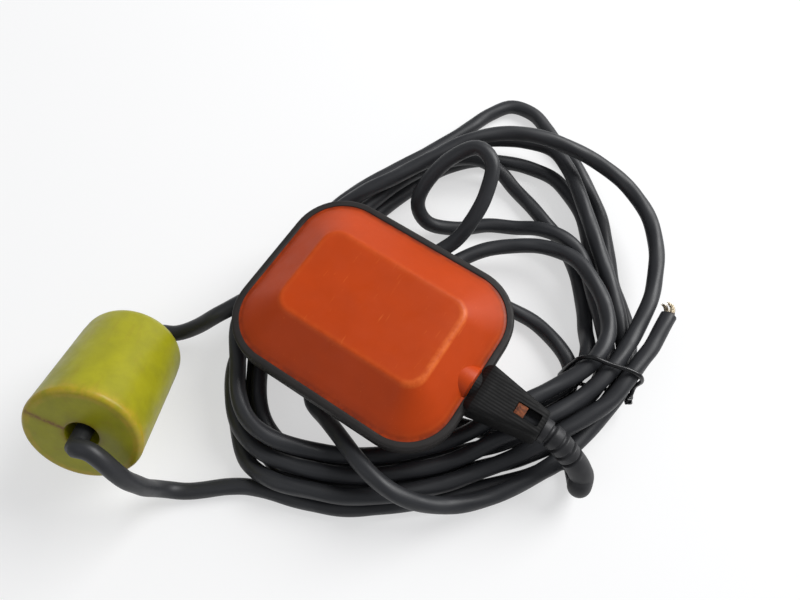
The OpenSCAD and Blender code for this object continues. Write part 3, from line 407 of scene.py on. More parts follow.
def settled(path, diameter, step, held, rounds=30):
    """Strands that press into each other are eased apart, and none sinks into the floor.
    held is 1 where the cable may not move."""
    path = path.copy()
    ease = 0.6
    near = int(3 * diameter / step)
    index = np.arange(len(path))
    for _ in range(rounds):
        square = (path ** 2).sum(1)
        gap = np.sqrt(np.maximum(square[:, None] + square[None] - 2 * path @ path.T, 1e-12))
        close = (gap < diameter) & (np.abs(index[:, None] - index[None]) > near)
        push = np.zeros_like(path)
        for i in np.nonzero(close.any(1))[0]:
            other = np.nonzero(close[i])[0]
            away = path[i] - path[other]
            d = gap[i, other][:, None]
            push[i] = (away / d * (diameter - d)).mean(0) * ease
        for _ in range(4):
            push[1:-1] = (push[:-2] + 2 * push[1:-1] + push[2:]) / 4
        path += push * (1 - held[:, None])
        path[:, 2] = np.maximum(path[:, 2], diameter / 2)
    return path


def carried_frames(path):
    """Heading, side and up at each point, carried along without twisting."""
    heading = np.gradient(path, axis=0)
    heading /= np.linalg.norm(heading, axis=1)[:, None]
    side = np.cross(heading[0], [0, 0, 1.0])
    if np.linalg.norm(side) < 0.1:
        side = np.cross(heading[0], [0, 1.0, 0])
    sides = []
    for h in heading:
        side = side - (side @ h) * h
        side /= np.linalg.norm(side)
        sides.append(side)
    sides = np.array(sides)
    return heading, sides, np.cross(heading, sides)


def tube(path, radius, sides, lay=0, depth=0):
    """A closed tube round the path, with its three cores showing where there is a lay. The third
    result is the place of each point on the straight cable."""
    _, side, up = carried_frames(path)
    along = np.concatenate([[0], np.cumsum(np.linalg.norm(np.diff(path, axis=0), axis=1))])
    points, straight = [], []
    for i in range(len(path)):
        a = 2 * math.pi * np.arange(sides) / sides
        r = radius + (depth * np.cos(CORES * (a - 2 * math.pi * along[i] / lay)) if lay else 0 * a)
        spoke = np.cos(a)[:, None] * side[i] + np.sin(a)[:, None] * up[i]
        points.append(path[i] + r[:, None] * spoke)
        straight.append(np.column_stack([r * np.cos(a), r * np.sin(a), np.full(sides, along[i])]))
    return np.vstack(points), closed_tube(len(path), sides), np.vstack(straight)


def rounded_outline(length, width, radius, arc_steps=16, side_steps=10):
    """Anticlockwise outline of a rounded rectangle, from its corner at +X +Y, and its normals."""
    points, normals = [], []
    a, b = length / 2 - radius, width / 2 - radius
    corners = [(a, b, 0), (-a, b, 90), (-a, -b, 180), (a, -b, 270)]
    for x, y, start in corners:
        for i in range(arc_steps + 1):
            t = math.radians(start + 90 * i / arc_steps)
            points.append((x + radius * math.cos(t), y + radius * math.sin(t)))
            normals.append((math.cos(t), math.sin(t)))
        after = corners[(corners.index((x, y, start)) + 1) % 4]
        t = math.radians(start + 90)
        last = np.array(points[-1])
        following = np.array([after[0] + radius * math.cos(t), after[1] + radius * math.sin(t)])
        for i in range(1, side_steps):
            points.append(tuple(last + (following - last) * i / side_steps))
            normals.append((math.cos(t), math.sin(t)))
    return np.array(points), np.array(normals)


def cut(piece, cutters, operation="DIFFERENCE"):
    """Booleans the cutters into the piece and deletes them."""
    for cutter in cutters:
        modifier = piece.modifiers.new("cut", "BOOLEAN")
        modifier.operation = operation
        modifier.solver = "EXACT"
        modifier.object = cutter
    plain(piece)
    for cutter in cutters:
        bpy.data.objects.remove(cutter)


def plain(piece):
    """Turns the piece's modifiers into its mesh."""
    evaluated = piece.evaluated_get(bpy.context.evaluated_depsgraph_get())
    data = bpy.data.meshes.new_from_object(evaluated)
    piece.modifiers.clear()
    piece.data = data


def tidy_mesh(piece, smooth_angle=40, distance=1e-6):
    """Merges doubles and shades the piece smooth up to that angle."""
    work = bmesh.new()
    work.from_mesh(piece.data)
    bmesh.ops.remove_doubles(work, verts=work.verts, dist=distance)
    bmesh.ops.dissolve_degenerate(work, edges=work.edges, dist=distance)
    work.to_mesh(piece.data)
    work.free()
    smooth(piece.data, smooth_angle)


def face_outwards(piece):
    """Turns every face of the piece outwards."""
    work = bmesh.new()
    work.from_mesh(piece.data)
    bmesh.ops.recalc_face_normals(work, faces=work.faces)
    work.to_mesh(piece.data)
    work.free()


def softened(node, name, material, width_mm, segments=3, angle=25):
    """A copy of a CAD node with its sharp edges rounded."""
    work = bmesh.new()
    work.from_mesh(nodes[node].data)
    bmesh.ops.remove_doubles(work, verts=work.verts, dist=1e-6)
    bmesh.ops.dissolve_limit(work, angle_limit=math.radians(1), verts=work.verts, edges=work.edges)
    sharp = [e for e in work.edges
             if len(e.link_faces) == 2 and e.calc_face_angle() > math.radians(angle)]
    bmesh.ops.bevel(work, geom=sharp, offset=width_mm * MM, segments=segments, profile=0.5,
                    affect="EDGES", clamp_overlap=True)
    data = bpy.data.meshes.new(name)
    work.to_mesh(data)
    work.free()
    data.materials.clear()
    data.materials.append(material)
    smooth(data, 40)
    return linked(name, data)


# ---------------------------------------------------------------- materials

def set_inputs(tree, node, inputs):
    """Links each input to the socket given for it, or sets it to the value given."""
    for key, value in inputs.items():
        if isinstance(value, bpy.types.NodeSocket):
            tree.links.new(value, node.inputs[key])
        else:
            node.inputs[key].default_value = value


def add_node(tree, kind, inputs=None, **settings):
    """Adds a node, sets it and links or sets its inputs."""
    made = tree.nodes.new(kind)
    for key, value in settings.items():
        setattr(made, key, value)
    set_inputs(tree, made, inputs or {})
    return made


def start_material(name, attribute=None):
    """A new material: its tree, its shader and the coordinates that its patterns read."""
    made = bpy.data.materials.new(name)
    made.use_nodes = True
    tree = made.node_tree
    tree.nodes.clear()
    shader = add_node(tree, "ShaderNodeBsdfPrincipled")
    add_node(tree, "ShaderNodeOutputMaterial", {"Surface": shader.outputs["BSDF"]})
    if attribute:
        place = add_node(tree, "ShaderNodeAttribute", attribute_name=attribute).outputs["Vector"]
    else:
        place = add_node(tree, "ShaderNodeTexCoord").outputs["Object"]
    return made, tree, shader, place


def noise(tree, place, size_mm, detail=2, roughness=0.5):
    """A noise whose features are about that size."""
    return add_node(tree, "ShaderNodeTexNoise", {
        "Vector": place, "Scale": 1 / (size_mm * MM), "Detail": detail,
        "Roughness": roughness}).outputs["Fac"]


def stretched(tree, place, scale, turn=(0, 0, 0)):
    """The coordinates turned and scaled, to draw a pattern out along an axis."""
    return add_node(tree, "ShaderNodeMapping", {
        "Vector": place, "Rotation": turn, "Scale": scale}).outputs["Vector"]


def stored(tree, name):
    """A value stored on the mesh's points."""
    return add_node(tree, "ShaderNodeAttribute", attribute_name=name).outputs["Fac"]


def between(tree, value, low, high, to_low=0.0, to_high=1.0):
    """The value's range from low to high, carried to another range and clamped."""
    return add_node(tree, "ShaderNodeMapRange", {
        "Value": value, "From Min": low, "From Max": high, "To Min": to_low,
        "To Max": to_high}).outputs["Result"]


def maths(tree, operation, a, b=0.0):
    """One sum of two values."""
    return add_node(tree, "ShaderNodeMath", {0: a, 1: b}, operation=operation).outputs["Value"]


def times(tree, a, b):
    return maths(tree, "MULTIPLY", a, b)


def mixed(tree, factor, a, b):
    """Colour a turned to b by the factor; the node's colour sockets are numbers 6, 7 and 2."""
    return add_node(tree, "ShaderNodeMix", {0: factor, 6: a, 7: b}, data_type="RGBA").outputs[2]


def bump(tree, height, depth_mm, normal=None):
    inputs = {"Height": height, "Distance": depth_mm * MM, "Strength": 1.0}
    if normal:
        inputs["Normal"] = normal
    return add_node(tree, "ShaderNodeBump", inputs).outputs["Normal"]


def moulded(name, colour, other, roughness, grain_mm=0.4, grain_depth=0.02, blotch_mm=16,
            spread=0.10):
    """Moulded plastic or rubber: two close shades in soft blotches and a fine moulding grain."""
    made, tree, shader, place = start_material(name)
    blotch = between(tree, noise(tree, place, blotch_mm, 4, 0.6), 0.35, 0.68)
    uneven = noise(tree, place, blotch_mm / 4, 3, 0.6)
    set_inputs(tree, shader, {
        "Base Color": mixed(tree, blotch, colour, other),
        "Roughness": between(tree, uneven, 0.3, 0.7, roughness - spread / 2,
                             roughness + spread / 2),
        "Normal": bump(tree, noise(tree, place, grain_mm, 3), grain_depth),
        "Specular IOR Level": 0.38})
    return made


def metal(name, colour, other, roughness, grain_mm=0.3, grain_depth=0.006, stretch=(1, 1, 6)):
    """Bare metal with a drawn grain and slight tarnish."""
    made, tree, shader, place = start_material(name)
    streaks = noise(tree, stretched(tree, place, [1 / s for s in stretch]), grain_mm, 3)
    tarnish = between(tree, noise(tree, place, 4, 4, 0.65), 0.4, 0.7)
    set_inputs(tree, shader, {
        "Base Color": mixed(tree, tarnish, colour, other),
        "Metallic": 1,
        "Roughness": between(tree, streaks, 0.3, 0.7, roughness - 0.06, roughness + 0.1),
        "Normal": bump(tree, streaks, grain_depth)})
    return made


def polypropylene_orange(settings):
    """Injection-moulded polypropylene: satin, a little waxy. Edges are worn lighter and carry a
    painted highlight, strongest at the end beside the neck; painted shade darkens the crease
    beside the band, and storage has left fine scuffs."""
    made, tree, shader, place = start_material("polypropylene_orange")
    soft = between(tree, noise(tree, place, 22, 4, 0.6), 0.35, 0.7)
    deeper = [c * 0.9 for c in settings.shell_colour[:3]] + [1]
    base = mixed(tree, soft, list(settings.shell_colour), deeper)
    # edges worn lighter, with a painted highlight strongest at the end beside the neck
    patchy = between(tree, noise(tree, place, 3.2, 4, 0.7), 0.3, 0.62, 0.25, 1.0)
    base = mixed(tree, times(tree, stored(tree, "rub_and_highlight"), patchy), base, list(settings.rubbed_and_highlight_colour))
    scratches = noise(tree, stretched(tree, place, (1, 0.09, 1), (0, 0, 0.6)), 0.8, 3, 0.6)
    scuff = between(tree, scratches, 0.66, 0.74, 0, 0.35)
    base = mixed(tree, scuff, base, list(settings.rubbed_and_highlight_colour))
    # painted shade in the crease beside the band, made patchy
    crease_shading = between(tree, noise(tree, place, 5, 4, 0.65), 0.3, 0.6, 0.35, 1.0)
    base = mixed(tree, times(tree, stored(tree, "grime_and_crease_shade"), crease_shading), base, list(settings.crease_shade_colour))
    waves = bump(tree, noise(tree, place, 12, 2), 0.12)
    set_inputs(tree, shader, {
        "Base Color": base,
        "Roughness": between(tree, noise(tree, place, 7, 4, 0.6), 0.3, 0.7, 0.36, 0.5),
        "Normal": bump(tree, noise(tree, place, 0.35, 3), 0.012, waves),
        "IOR": 1.49,
        "Specular IOR Level": 0.22})
    return made


def weight_plastic(settings):
    """Moulded polyethylene over iron: satin yellow-green with smears of old dirt, and a
    brown stain in the weld line that runs from the bore to the front edge."""
    made, tree, shader, place = start_material("polyethylene_yellow", "own_place")
    soft = between(tree, noise(tree, place, 14, 4, 0.65), 0.32, 0.7)
    base = mixed(tree, soft, list(settings.plastic_colour), list(settings.shade_colour))
    smears = noise(tree, stretched(tree, place, (1, 1, 0.22)), 5, 4, 0.7)
    base = mixed(tree, between(tree, smears, 0.55, 0.75, 0, 0.45), base, linear("#8E7A22"))
    patchy = between(tree, noise(tree, place, 4, 4, 0.7), 0.35, 0.65, 0.1, 1.0)
    base = mixed(tree, times(tree, stored(tree, "grime_and_crease_shade"), patchy), base, linear("#B4952A"))
    ragged = between(tree, noise(tree, place, 1.6, 4, 0.7), 0.3, 0.55, 0.35, 1.0)
    base = mixed(tree, times(tree, stored(tree, "stain"), ragged), base,
                 list(settings.stain_colour))
    waves = bump(tree, noise(tree, place, 9, 2), 0.1)
    set_inputs(tree, shader, {
        "Base Color": base,
        "Roughness": between(tree, noise(tree, place, 5, 4, 0.6), 0.3, 0.7, 0.34, 0.5),
        "Normal": bump(tree, noise(tree, place, 0.4, 3), 0.012, waves),
        "IOR": 1.51,
        "Specular IOR Level": 0.35})
    return made


def cable_sheath(settings):
    """Extruded synthetic rubber: soft sheen, a grey bloom drawn out along the cable and
    fine draw lines from the die."""
    made, tree, shader, place = start_material("cable_sheath", "straight")
    drawn = stretched(tree, place, (1, 1, 0.06))
    bloom = between(tree, noise(tree, drawn, 2.4, 4, 0.65), 0.42, 0.72, 0, 0.55)
    patch = between(tree, noise(tree, place, 34, 3, 0.6), 0.35, 0.65, 0.25, 1.0)
    set_inputs(tree, shader, {
        "Base Color": mixed(tree, times(tree, bloom, patch), list(settings.sheath_colour),
                            list(settings.dust_colour)),
        "Roughness": between(tree, noise(tree, place, 9, 3, 0.6), 0.3, 0.7, 0.4, 0.55),
        "Normal": bump(tree, noise(tree, drawn, 0.7, 3), 0.03),
        "IOR": 1.52,
        "Specular IOR Level": 0.38})
    return made


def neck_plastic(settings):
    """Moulded nylon with shallow grip lines along the neck, dusty in the grooves."""
    made, tree, shader, place = start_material("neck_nylon")
    line_mm = 1.3
    across = add_node(tree, "ShaderNodeTexWave", {
        "Vector": place, "Scale": 1 / (line_mm * MM) / (2 * math.pi) * 2, "Distortion": 0.6,
        "Detail": 1.0}, wave_type="BANDS", bands_direction="Y", wave_profile="SIN").outputs["Fac"]
    dusty = between(tree, noise(tree, place, 5, 4, 0.6), 0.4, 0.7)
    dust = times(tree, between(tree, across, 0.5, 0.05), dusty)
    set_inputs(tree, shader, {
        "Base Color": mixed(tree, times(tree, dust, 0.3), list(settings.neck_colour),
                            linear("#2A2826")),
        "Roughness": between(tree, noise(tree, place, 4, 3, 0.6), 0.3, 0.7, 0.55, 0.7),
        "Normal": bump(tree, noise(tree, place, 0.4, 3), 0.02, bump(tree, across, 0.06)),
        "Specular IOR Level": 0.2})
    return made


def rusted_steel():
    """Cold-rolled strip gone to brown rust: flaky, dry and quite matt."""
    made, tree, shader, place = start_material("rusted_steel")
    flakes = noise(tree, place, 0.9, 5, 0.7)
    base = mixed(tree, between(tree, flakes, 0.35, 0.65), linear("#5A2C18"), linear("#9A5630"))
    spots = between(tree, noise(tree, place, 2.2, 4, 0.6), 0.5, 0.7)
    set_inputs(tree, shader, {
        "Base Color": mixed(tree, spots, base, linear("#3A2118")),
        "Roughness": 0.85,
        "Normal": bump(tree, flakes, 0.08)})
    return made


def foam_white():
    """Cut closed-cell polyethylene foam: matt, with small open cells on the cut faces."""
    made, tree, shader, place = start_material("cut_foam")
    cell_mm = 0.9
    cells = add_node(tree, "ShaderNodeTexVoronoi", {
        "Vector": place, "Scale": 1 / (cell_mm * MM)}).outputs["Distance"]
    set_inputs(tree, shader, {
        "Base Color": mixed(tree, between(tree, cells, 0.1, 0.6), linear("#CFCFC6"),
                            linear("#E6E5DE")),
        "Roughness": 0.9,
        "Normal": bump(tree, cells, 0.2)})
    return made


def dress(material, *names):
    """Gives CAD nodes their material."""
    for name in names:
        piece = nodes[name]
        if not piece.material_slots:
            piece.data.materials.append(material)
        for slot in piece.material_slots:
            slot.material = material


def belong(piece, body, slot, *replaced):
    """Fixes the piece to its body and hides what it stands for. The slot is not used."""
    if body:
        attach(piece, body)
    if replaced:
        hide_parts(*replaced)
    return piece


def start_tree(name, sizes):
    """A geometry tree with an input for each size: the tree, its sockets and its inputs' values."""
    tree = bpy.data.node_groups.new(name, "GeometryNodeTree")
    face = tree.interface
    face.new_socket("Geometry", in_out="INPUT", socket_type="NodeSocketGeometry")
    sockets = {k: face.new_socket(k, in_out="INPUT", socket_type="NodeSocketFloat") for k in sizes}
    face.new_socket("Geometry", in_out="OUTPUT", socket_type="NodeSocketGeometry")
    return tree, sockets, add_node(tree, "NodeGroupInput").outputs


def finish_tree(piece, tree, sockets, sizes, geometry, material):
    """Ends the tree in plain geometry of one material and sets it, with its sizes, on the piece."""
    real = add_node(tree, "GeometryNodeRealizeInstances", {"Geometry": geometry})
    painted = add_node(tree, "GeometryNodeSetMaterial", {
        "Geometry": real.outputs["Geometry"], "Material": material})
    add_node(tree, "NodeGroupOutput", {"Geometry": painted.outputs["Geometry"]})
    modifier = piece.modifiers.new(tree.name, "NODES")
    modifier.node_group = tree
    for key, value in sizes.items():
        modifier[sockets[key].identifier] = value


# ---------------------------------------------------------------- operators

# Float in millimetres: length, width and corner radius of its body and of its flat face, then
# its height over the middle, half the band's height and how far it stands out
BODY = (95.0, 76.0, 20.0)
FACE = (64.0, 39.0, 7.0)
HALF_H = 14.5
BAND_HALF = 3.5
BAND_OUT = 2.5
WALL = 2.4
BOSS_R = 7.6
SPIGOT_R = 6.5

# Side of the weight's front face where the weld line runs, in degrees
WELD_ANGLE = 240.0

# Camera in millimetres from the float's centre on the floor; floor and lamps in metres
CAMERA_PLACE = (66.2, -81.5, 285.7)
CAMERA_TARGET = (-2.7, 23.4, 0)
FLOOR_HALF = 9.0
FLOOR_PALE = 0.55
LAMP_SIZE = 0.9


def aim(piece, place, target):
    """Stands a camera or lamp at its place, looking at the target."""
    piece.location = place
    piece.rotation_euler = (Vector(target) - Vector(place)).to_track_quat("-Z", "Y").to_euler()


class FLOATSWITCH_OT_stage(bpy.types.Operator):
    """Floor, camera and lamps"""
    bl_idname = "floatswitch.stage"
    bl_label = "Stage"

    def execute(self, context):
        settings = context.scene.float_switch.stage
        camera = linked("camera", bpy.data.cameras.new("camera"))
        camera.data.lens = settings.lens
        camera.data.sensor_width = 36
        camera.data.clip_start = 0.01
        aim(camera, *at_float([CAMERA_PLACE, CAMERA_TARGET]))
        context.scene.camera = camera

        floor_material, tree, shader, spot = start_material("studio_floor")
        shade = between(tree, noise(tree, spot, 400, 2), 0.3, 0.7)
        set_inputs(tree, shader, {
            "Base Color": mixed(tree, shade, linear("#F8F8F8"), linear("#FAFAFA")),
            "Roughness": 0.9})
        # seen directly or in a reflection the floor is paler, and its shadow softer
        output = next(n for n in tree.nodes if n.type == "OUTPUT_MATERIAL")
        ray = add_node(tree, "ShaderNodeLightPath").outputs
        looked = maths(tree, "MAXIMUM", ray["Is Camera Ray"], ray["Is Glossy Ray"])
        looked = maths(tree, "MAXIMUM", looked, ray["Is Transmission Ray"])
        white = add_node(tree, "ShaderNodeEmission", {"Color": linear("#FFFFFF"), "Strength": 1.0})
        pale = add_node(tree, "ShaderNodeMixShader", {
            0: times(tree, looked, FLOOR_PALE), 1: shader.outputs["BSDF"],
            2: white.outputs["Emission"]})
        tree.links.new(pale.outputs["Shader"], output.inputs["Surface"])
        corners = [(x * FLOOR_HALF, y * FLOOR_HALF, 0)
                   for x, y in ((-1, -1), (1, -1), (1, 1), (-1, 1))]
        new_piece("floor", corners, [(0, 1, 2, 3)], floor_material)

        world = bpy.data.worlds.new("sky")
        world.use_nodes = True
        sky = world.node_tree
        sky.nodes.clear()
        light = add_node(sky, "ShaderNodeBackground", {
            "Color": linear("#F4F6FA"), "Strength": settings.sky})
        seen = add_node(sky, "ShaderNodeBackground", {"Color": linear("#FFFFFF"), "Strength": 1.0})
        ray = add_node(sky, "ShaderNodeLightPath")
        mix = add_node(sky, "ShaderNodeMixShader", {
            0: ray.outputs["Is Camera Ray"], 1: light.outputs["Background"],
            2: seen.outputs["Background"]})
        add_node(sky, "ShaderNodeOutputWorld", {"Surface": mix.outputs["Shader"]})
        context.scene.world = world

        for name, spot, target, power, tint in (
                ("window", (0.42, 0.95, 0.85), (0.0, 0.03, 0.03), settings.key_power, "#FFFFFF"),
                ("fill", (-0.35, -0.8, 0.9), (0.0, 0.03, 0.0), settings.fill_power, "#F6F8FF")):
            lamp = linked(name, bpy.data.lights.new(name, "AREA"))
            lamp.data.shape = "DISK"
            lamp.data.size = LAMP_SIZE
            lamp.data.energy = power
            lamp.data.color = linear(tint)[:3]
            aim(lamp, spot, target)
        context.scene.view_settings.view_transform = "Standard"
        return {"FINISHED"}


class FLOATSWITCH_OT_cable(bpy.types.Operator):
    """The cable from the bend relief through the weight and the bundle to its bare end"""
    bl_idname = "floatswitch.cable"
    bl_label = "Cable"

    def execute(self, context):
        settings = context.scene.float_switch.cable
        origin = at_float([(0, 0, 0)])[0]
        weight_length = context.scene.float_switch.weight.length
        front = (WEIGHT_REAR + WEIGHT_DIR * weight_length * MM - origin) / MM
        rear = (WEIGHT_REAR - origin) / MM
        straight_out = 3.6 * WEIGHT_DIR
        points = LEAD + [front + straight_out, front, rear, rear - straight_out] + BACK + COIL
        path = smooth_path(points, settings.step)
        # the ends and the run through the weight keep their place, fading out at their reach
        held, fade = np.zeros(len(path)), 8
        for centre, reach in ((np.array(RELIEF[-1]), 26), ((front + rear) / 2, 40),
                              (np.array(COIL[-1]), 18)):
            away = np.linalg.norm(path - centre, axis=1)
            held = np.maximum(held, np.clip((reach - away) / fade, 0, 1))
        path = even(settled(path, settings.diameter, settings.step, held), settings.step)
        points, faces, straight = tube(path, settings.diameter / 2, settings.sides,
                                       settings.lay, settings.lay_depth)
        sheath = cable_sheath(settings)
        piece = new_piece("cable", at_float(points), faces, sheath, 50, {"straight": straight * MM})
        belong(piece, "cable", "cable_sheath",
               "cable_lead", "cable_rear", "cable_coil", "cable_end")
        bpy.ops.floatswitch.cores()
        return {"FINISHED"}


class FLOATSWITCH_OT_cores(bpy.types.Operator):
    """Stripped cores and their tinned strands at the cable's end"""
    bl_idname = "floatswitch.cores"
    bl_label = "Bare cores"

    def execute(self, context):
        settings = context.scene.float_switch.cable
        end = np.array(COIL[-1], float)
        insulation = moulded("core_insulation", linear("#4A3A30"), linear("#3A2E28"), 0.5,
                             blotch_mm=3)
        tinned = metal("tinned_copper", linear("#B9AE98"), linear("#8F8068"), 0.38, grain_mm=0.1)
        parts, roots = [], []
        for k, (angle, out) in enumerate(((90, 1.2), (210, 0.8), (330, 2.4))):
            a = math.radians(angle)
            off = np.array([math.cos(a) * 1.25, 0, math.sin(a) * 1.25])
            bend = np.array([-0.5, 0, 0.3 - 0.3 * k])
            core = smooth_path([end + off + [0, -2, 0], end + off,
                                end + off * 1.05 + [0, out / 2, 0],
                                end + off * 1.1 + [0, out, 0] + bend * 0.4], 0.4)
            parts.append(tube(core, CORE_R, 16)[:2])
            for s in range(settings.strands):
                r = 0.72 * math.sqrt((s + 0.5) / settings.strands)
                t = s * GOLDEN_ANGLE
                roots.append(core[-1] + [r * math.cos(t), -0.3, r * math.sin(t)])
        points, faces = merged(parts)
        stubs = new_piece("core_stubs", at_float(points), faces, insulation, 40)
        belong(stubs, "cable", "core_brown", "end_cores")
        seeds = new_piece("strands", at_float(roots), [], tinned)
        strands_tree(seeds, tinned)
        belong(seeds, "cable", "copper", "core_copper")
        return {"FINISHED"}


def strands_tree(piece, material):
    """Sets a short bent wire on each point, turned at random round the cable's line."""
    sizes = {"Strand length": 4.2 * MM, "Strand radius": 0.16 * MM, "Splay": 0.6}
    tree, sockets, given = start_tree("strands", sizes)

    def bent(across, ahead):
        return add_node(tree, "ShaderNodeCombineXYZ", {
            "X": times(tree, given["Strand length"], across),
            "Y": times(tree, given["Strand length"], ahead)}).outputs["Vector"]

    line = add_node(tree, "GeometryNodeCurveQuadraticBezier", {
        "Resolution": 8, "Start": (0, 0, 0), "Middle": bent(0.12, 0.6), "End": bent(-0.42, 0.95)})
    ring = add_node(tree, "GeometryNodeCurvePrimitiveCircle", {
        "Resolution": 6, "Radius": given["Strand radius"]}, mode="RADIUS")
    wire = add_node(tree, "GeometryNodeCurveToMesh", {
        "Curve": line.outputs["Curve"], "Profile Curve": ring.outputs["Curve"], "Fill Caps": True})
    lean = add_node(tree, "ShaderNodeVectorMath", {
        0: (0, 0, 0.3), "Scale": given["Splay"]}, operation="SCALE")
    turn = add_node(tree, "FunctionNodeRandomValue", {"Seed": 7}, data_type="FLOAT_VECTOR")
    turn.inputs["Min"].default_value = (-0.12, -0.35, -0.1)
    turn.inputs["Max"].default_value = (0.12, 0.35, 0.1)
    rotation = add_node(tree, "ShaderNodeVectorMath", {
        0: turn.outputs["Value"], 1: lean.outputs["Vector"]}, operation="ADD")
    placed = add_node(tree, "GeometryNodeInstanceOnPoints", {
        "Points": given["Geometry"], "Instance": wire.outputs["Mesh"],
        "Rotation": rotation.outputs["Vector"]})
    finish_tree(piece, tree, sockets, sizes, placed.outputs["Instances"], material)
    plain(piece)
    tidy_mesh(piece, 60, 1e-9)


class FLOATSWITCH_OT_tie(bpy.types.Operator):
    """Plastic-covered wire tie round the bundle, its two ends twisted together"""
    bl_idname = "floatswitch.tie"
    bl_label = "Wire tie"

    def execute(self, context):
        settings = context.scene.float_switch.cable
        cover = moulded("tie_cover", linear("#101012"), linear("#1A1A1C"), 0.28, 0.3, 0.01, 6)
        body = smooth_path(TIE[1:-1], 0.8)
        start, finish = np.array(TIE[1]), np.array(TIE[-2])
        out = (np.array(TIE[0]) + np.array(TIE[-1])) / 2
        parts = [tube(body, settings.tie_diameter / 2, 12)[:2]]
        # the twist: two wires wound round one line
        turns = 2.2
        base = (start + finish) / 2
        back = 0.6 * (out - base) / np.linalg.norm(out - base)
        line = smooth_path([base - back, base, out], 0.35)
        _, side, up = carried_frames(line)
        for phase in (0, math.pi):
            a = phase + np.linspace(0, 2 * math.pi * turns, len(line))
            helix = line + 0.8 * (np.cos(a)[:, None] * side + np.sin(a)[:, None] * up)
            parts.append(tube(helix, settings.tie_diameter / 2, 12)[:2])
        points, faces = merged(parts)
        piece = new_piece("wire_tie", at_float(points), faces, cover, 50)
        belong(piece, "cable", "core_black", "twist_tie")
        return {"FINISHED"}


class FLOATSWITCH_OT_shells(bpy.types.Operator):
    """The two orange shells, with their faces, bevels, ledge and boss"""
    bl_idname = "floatswitch.shells"
    bl_label = "Shells"

    def execute(self, context):
        settings = context.scene.float_switch.body
        orange = polypropylene_orange(settings)
        for name, node, up in (("shell_upper", "upper_shell", 1),
                               ("shell_lower", "lower_shell", -1)):
            piece = half_shell(name, settings, orange, up)
            belong(piece, "float", "float_plastic", node)
        return {"FINISHED"}


def grown(shape, by):
    """A length, width and corner radius with that much more on every side."""
    return (shape[0] + 2 * by, shape[1] + 2 * by, max(shape[2] + by, 0.5))


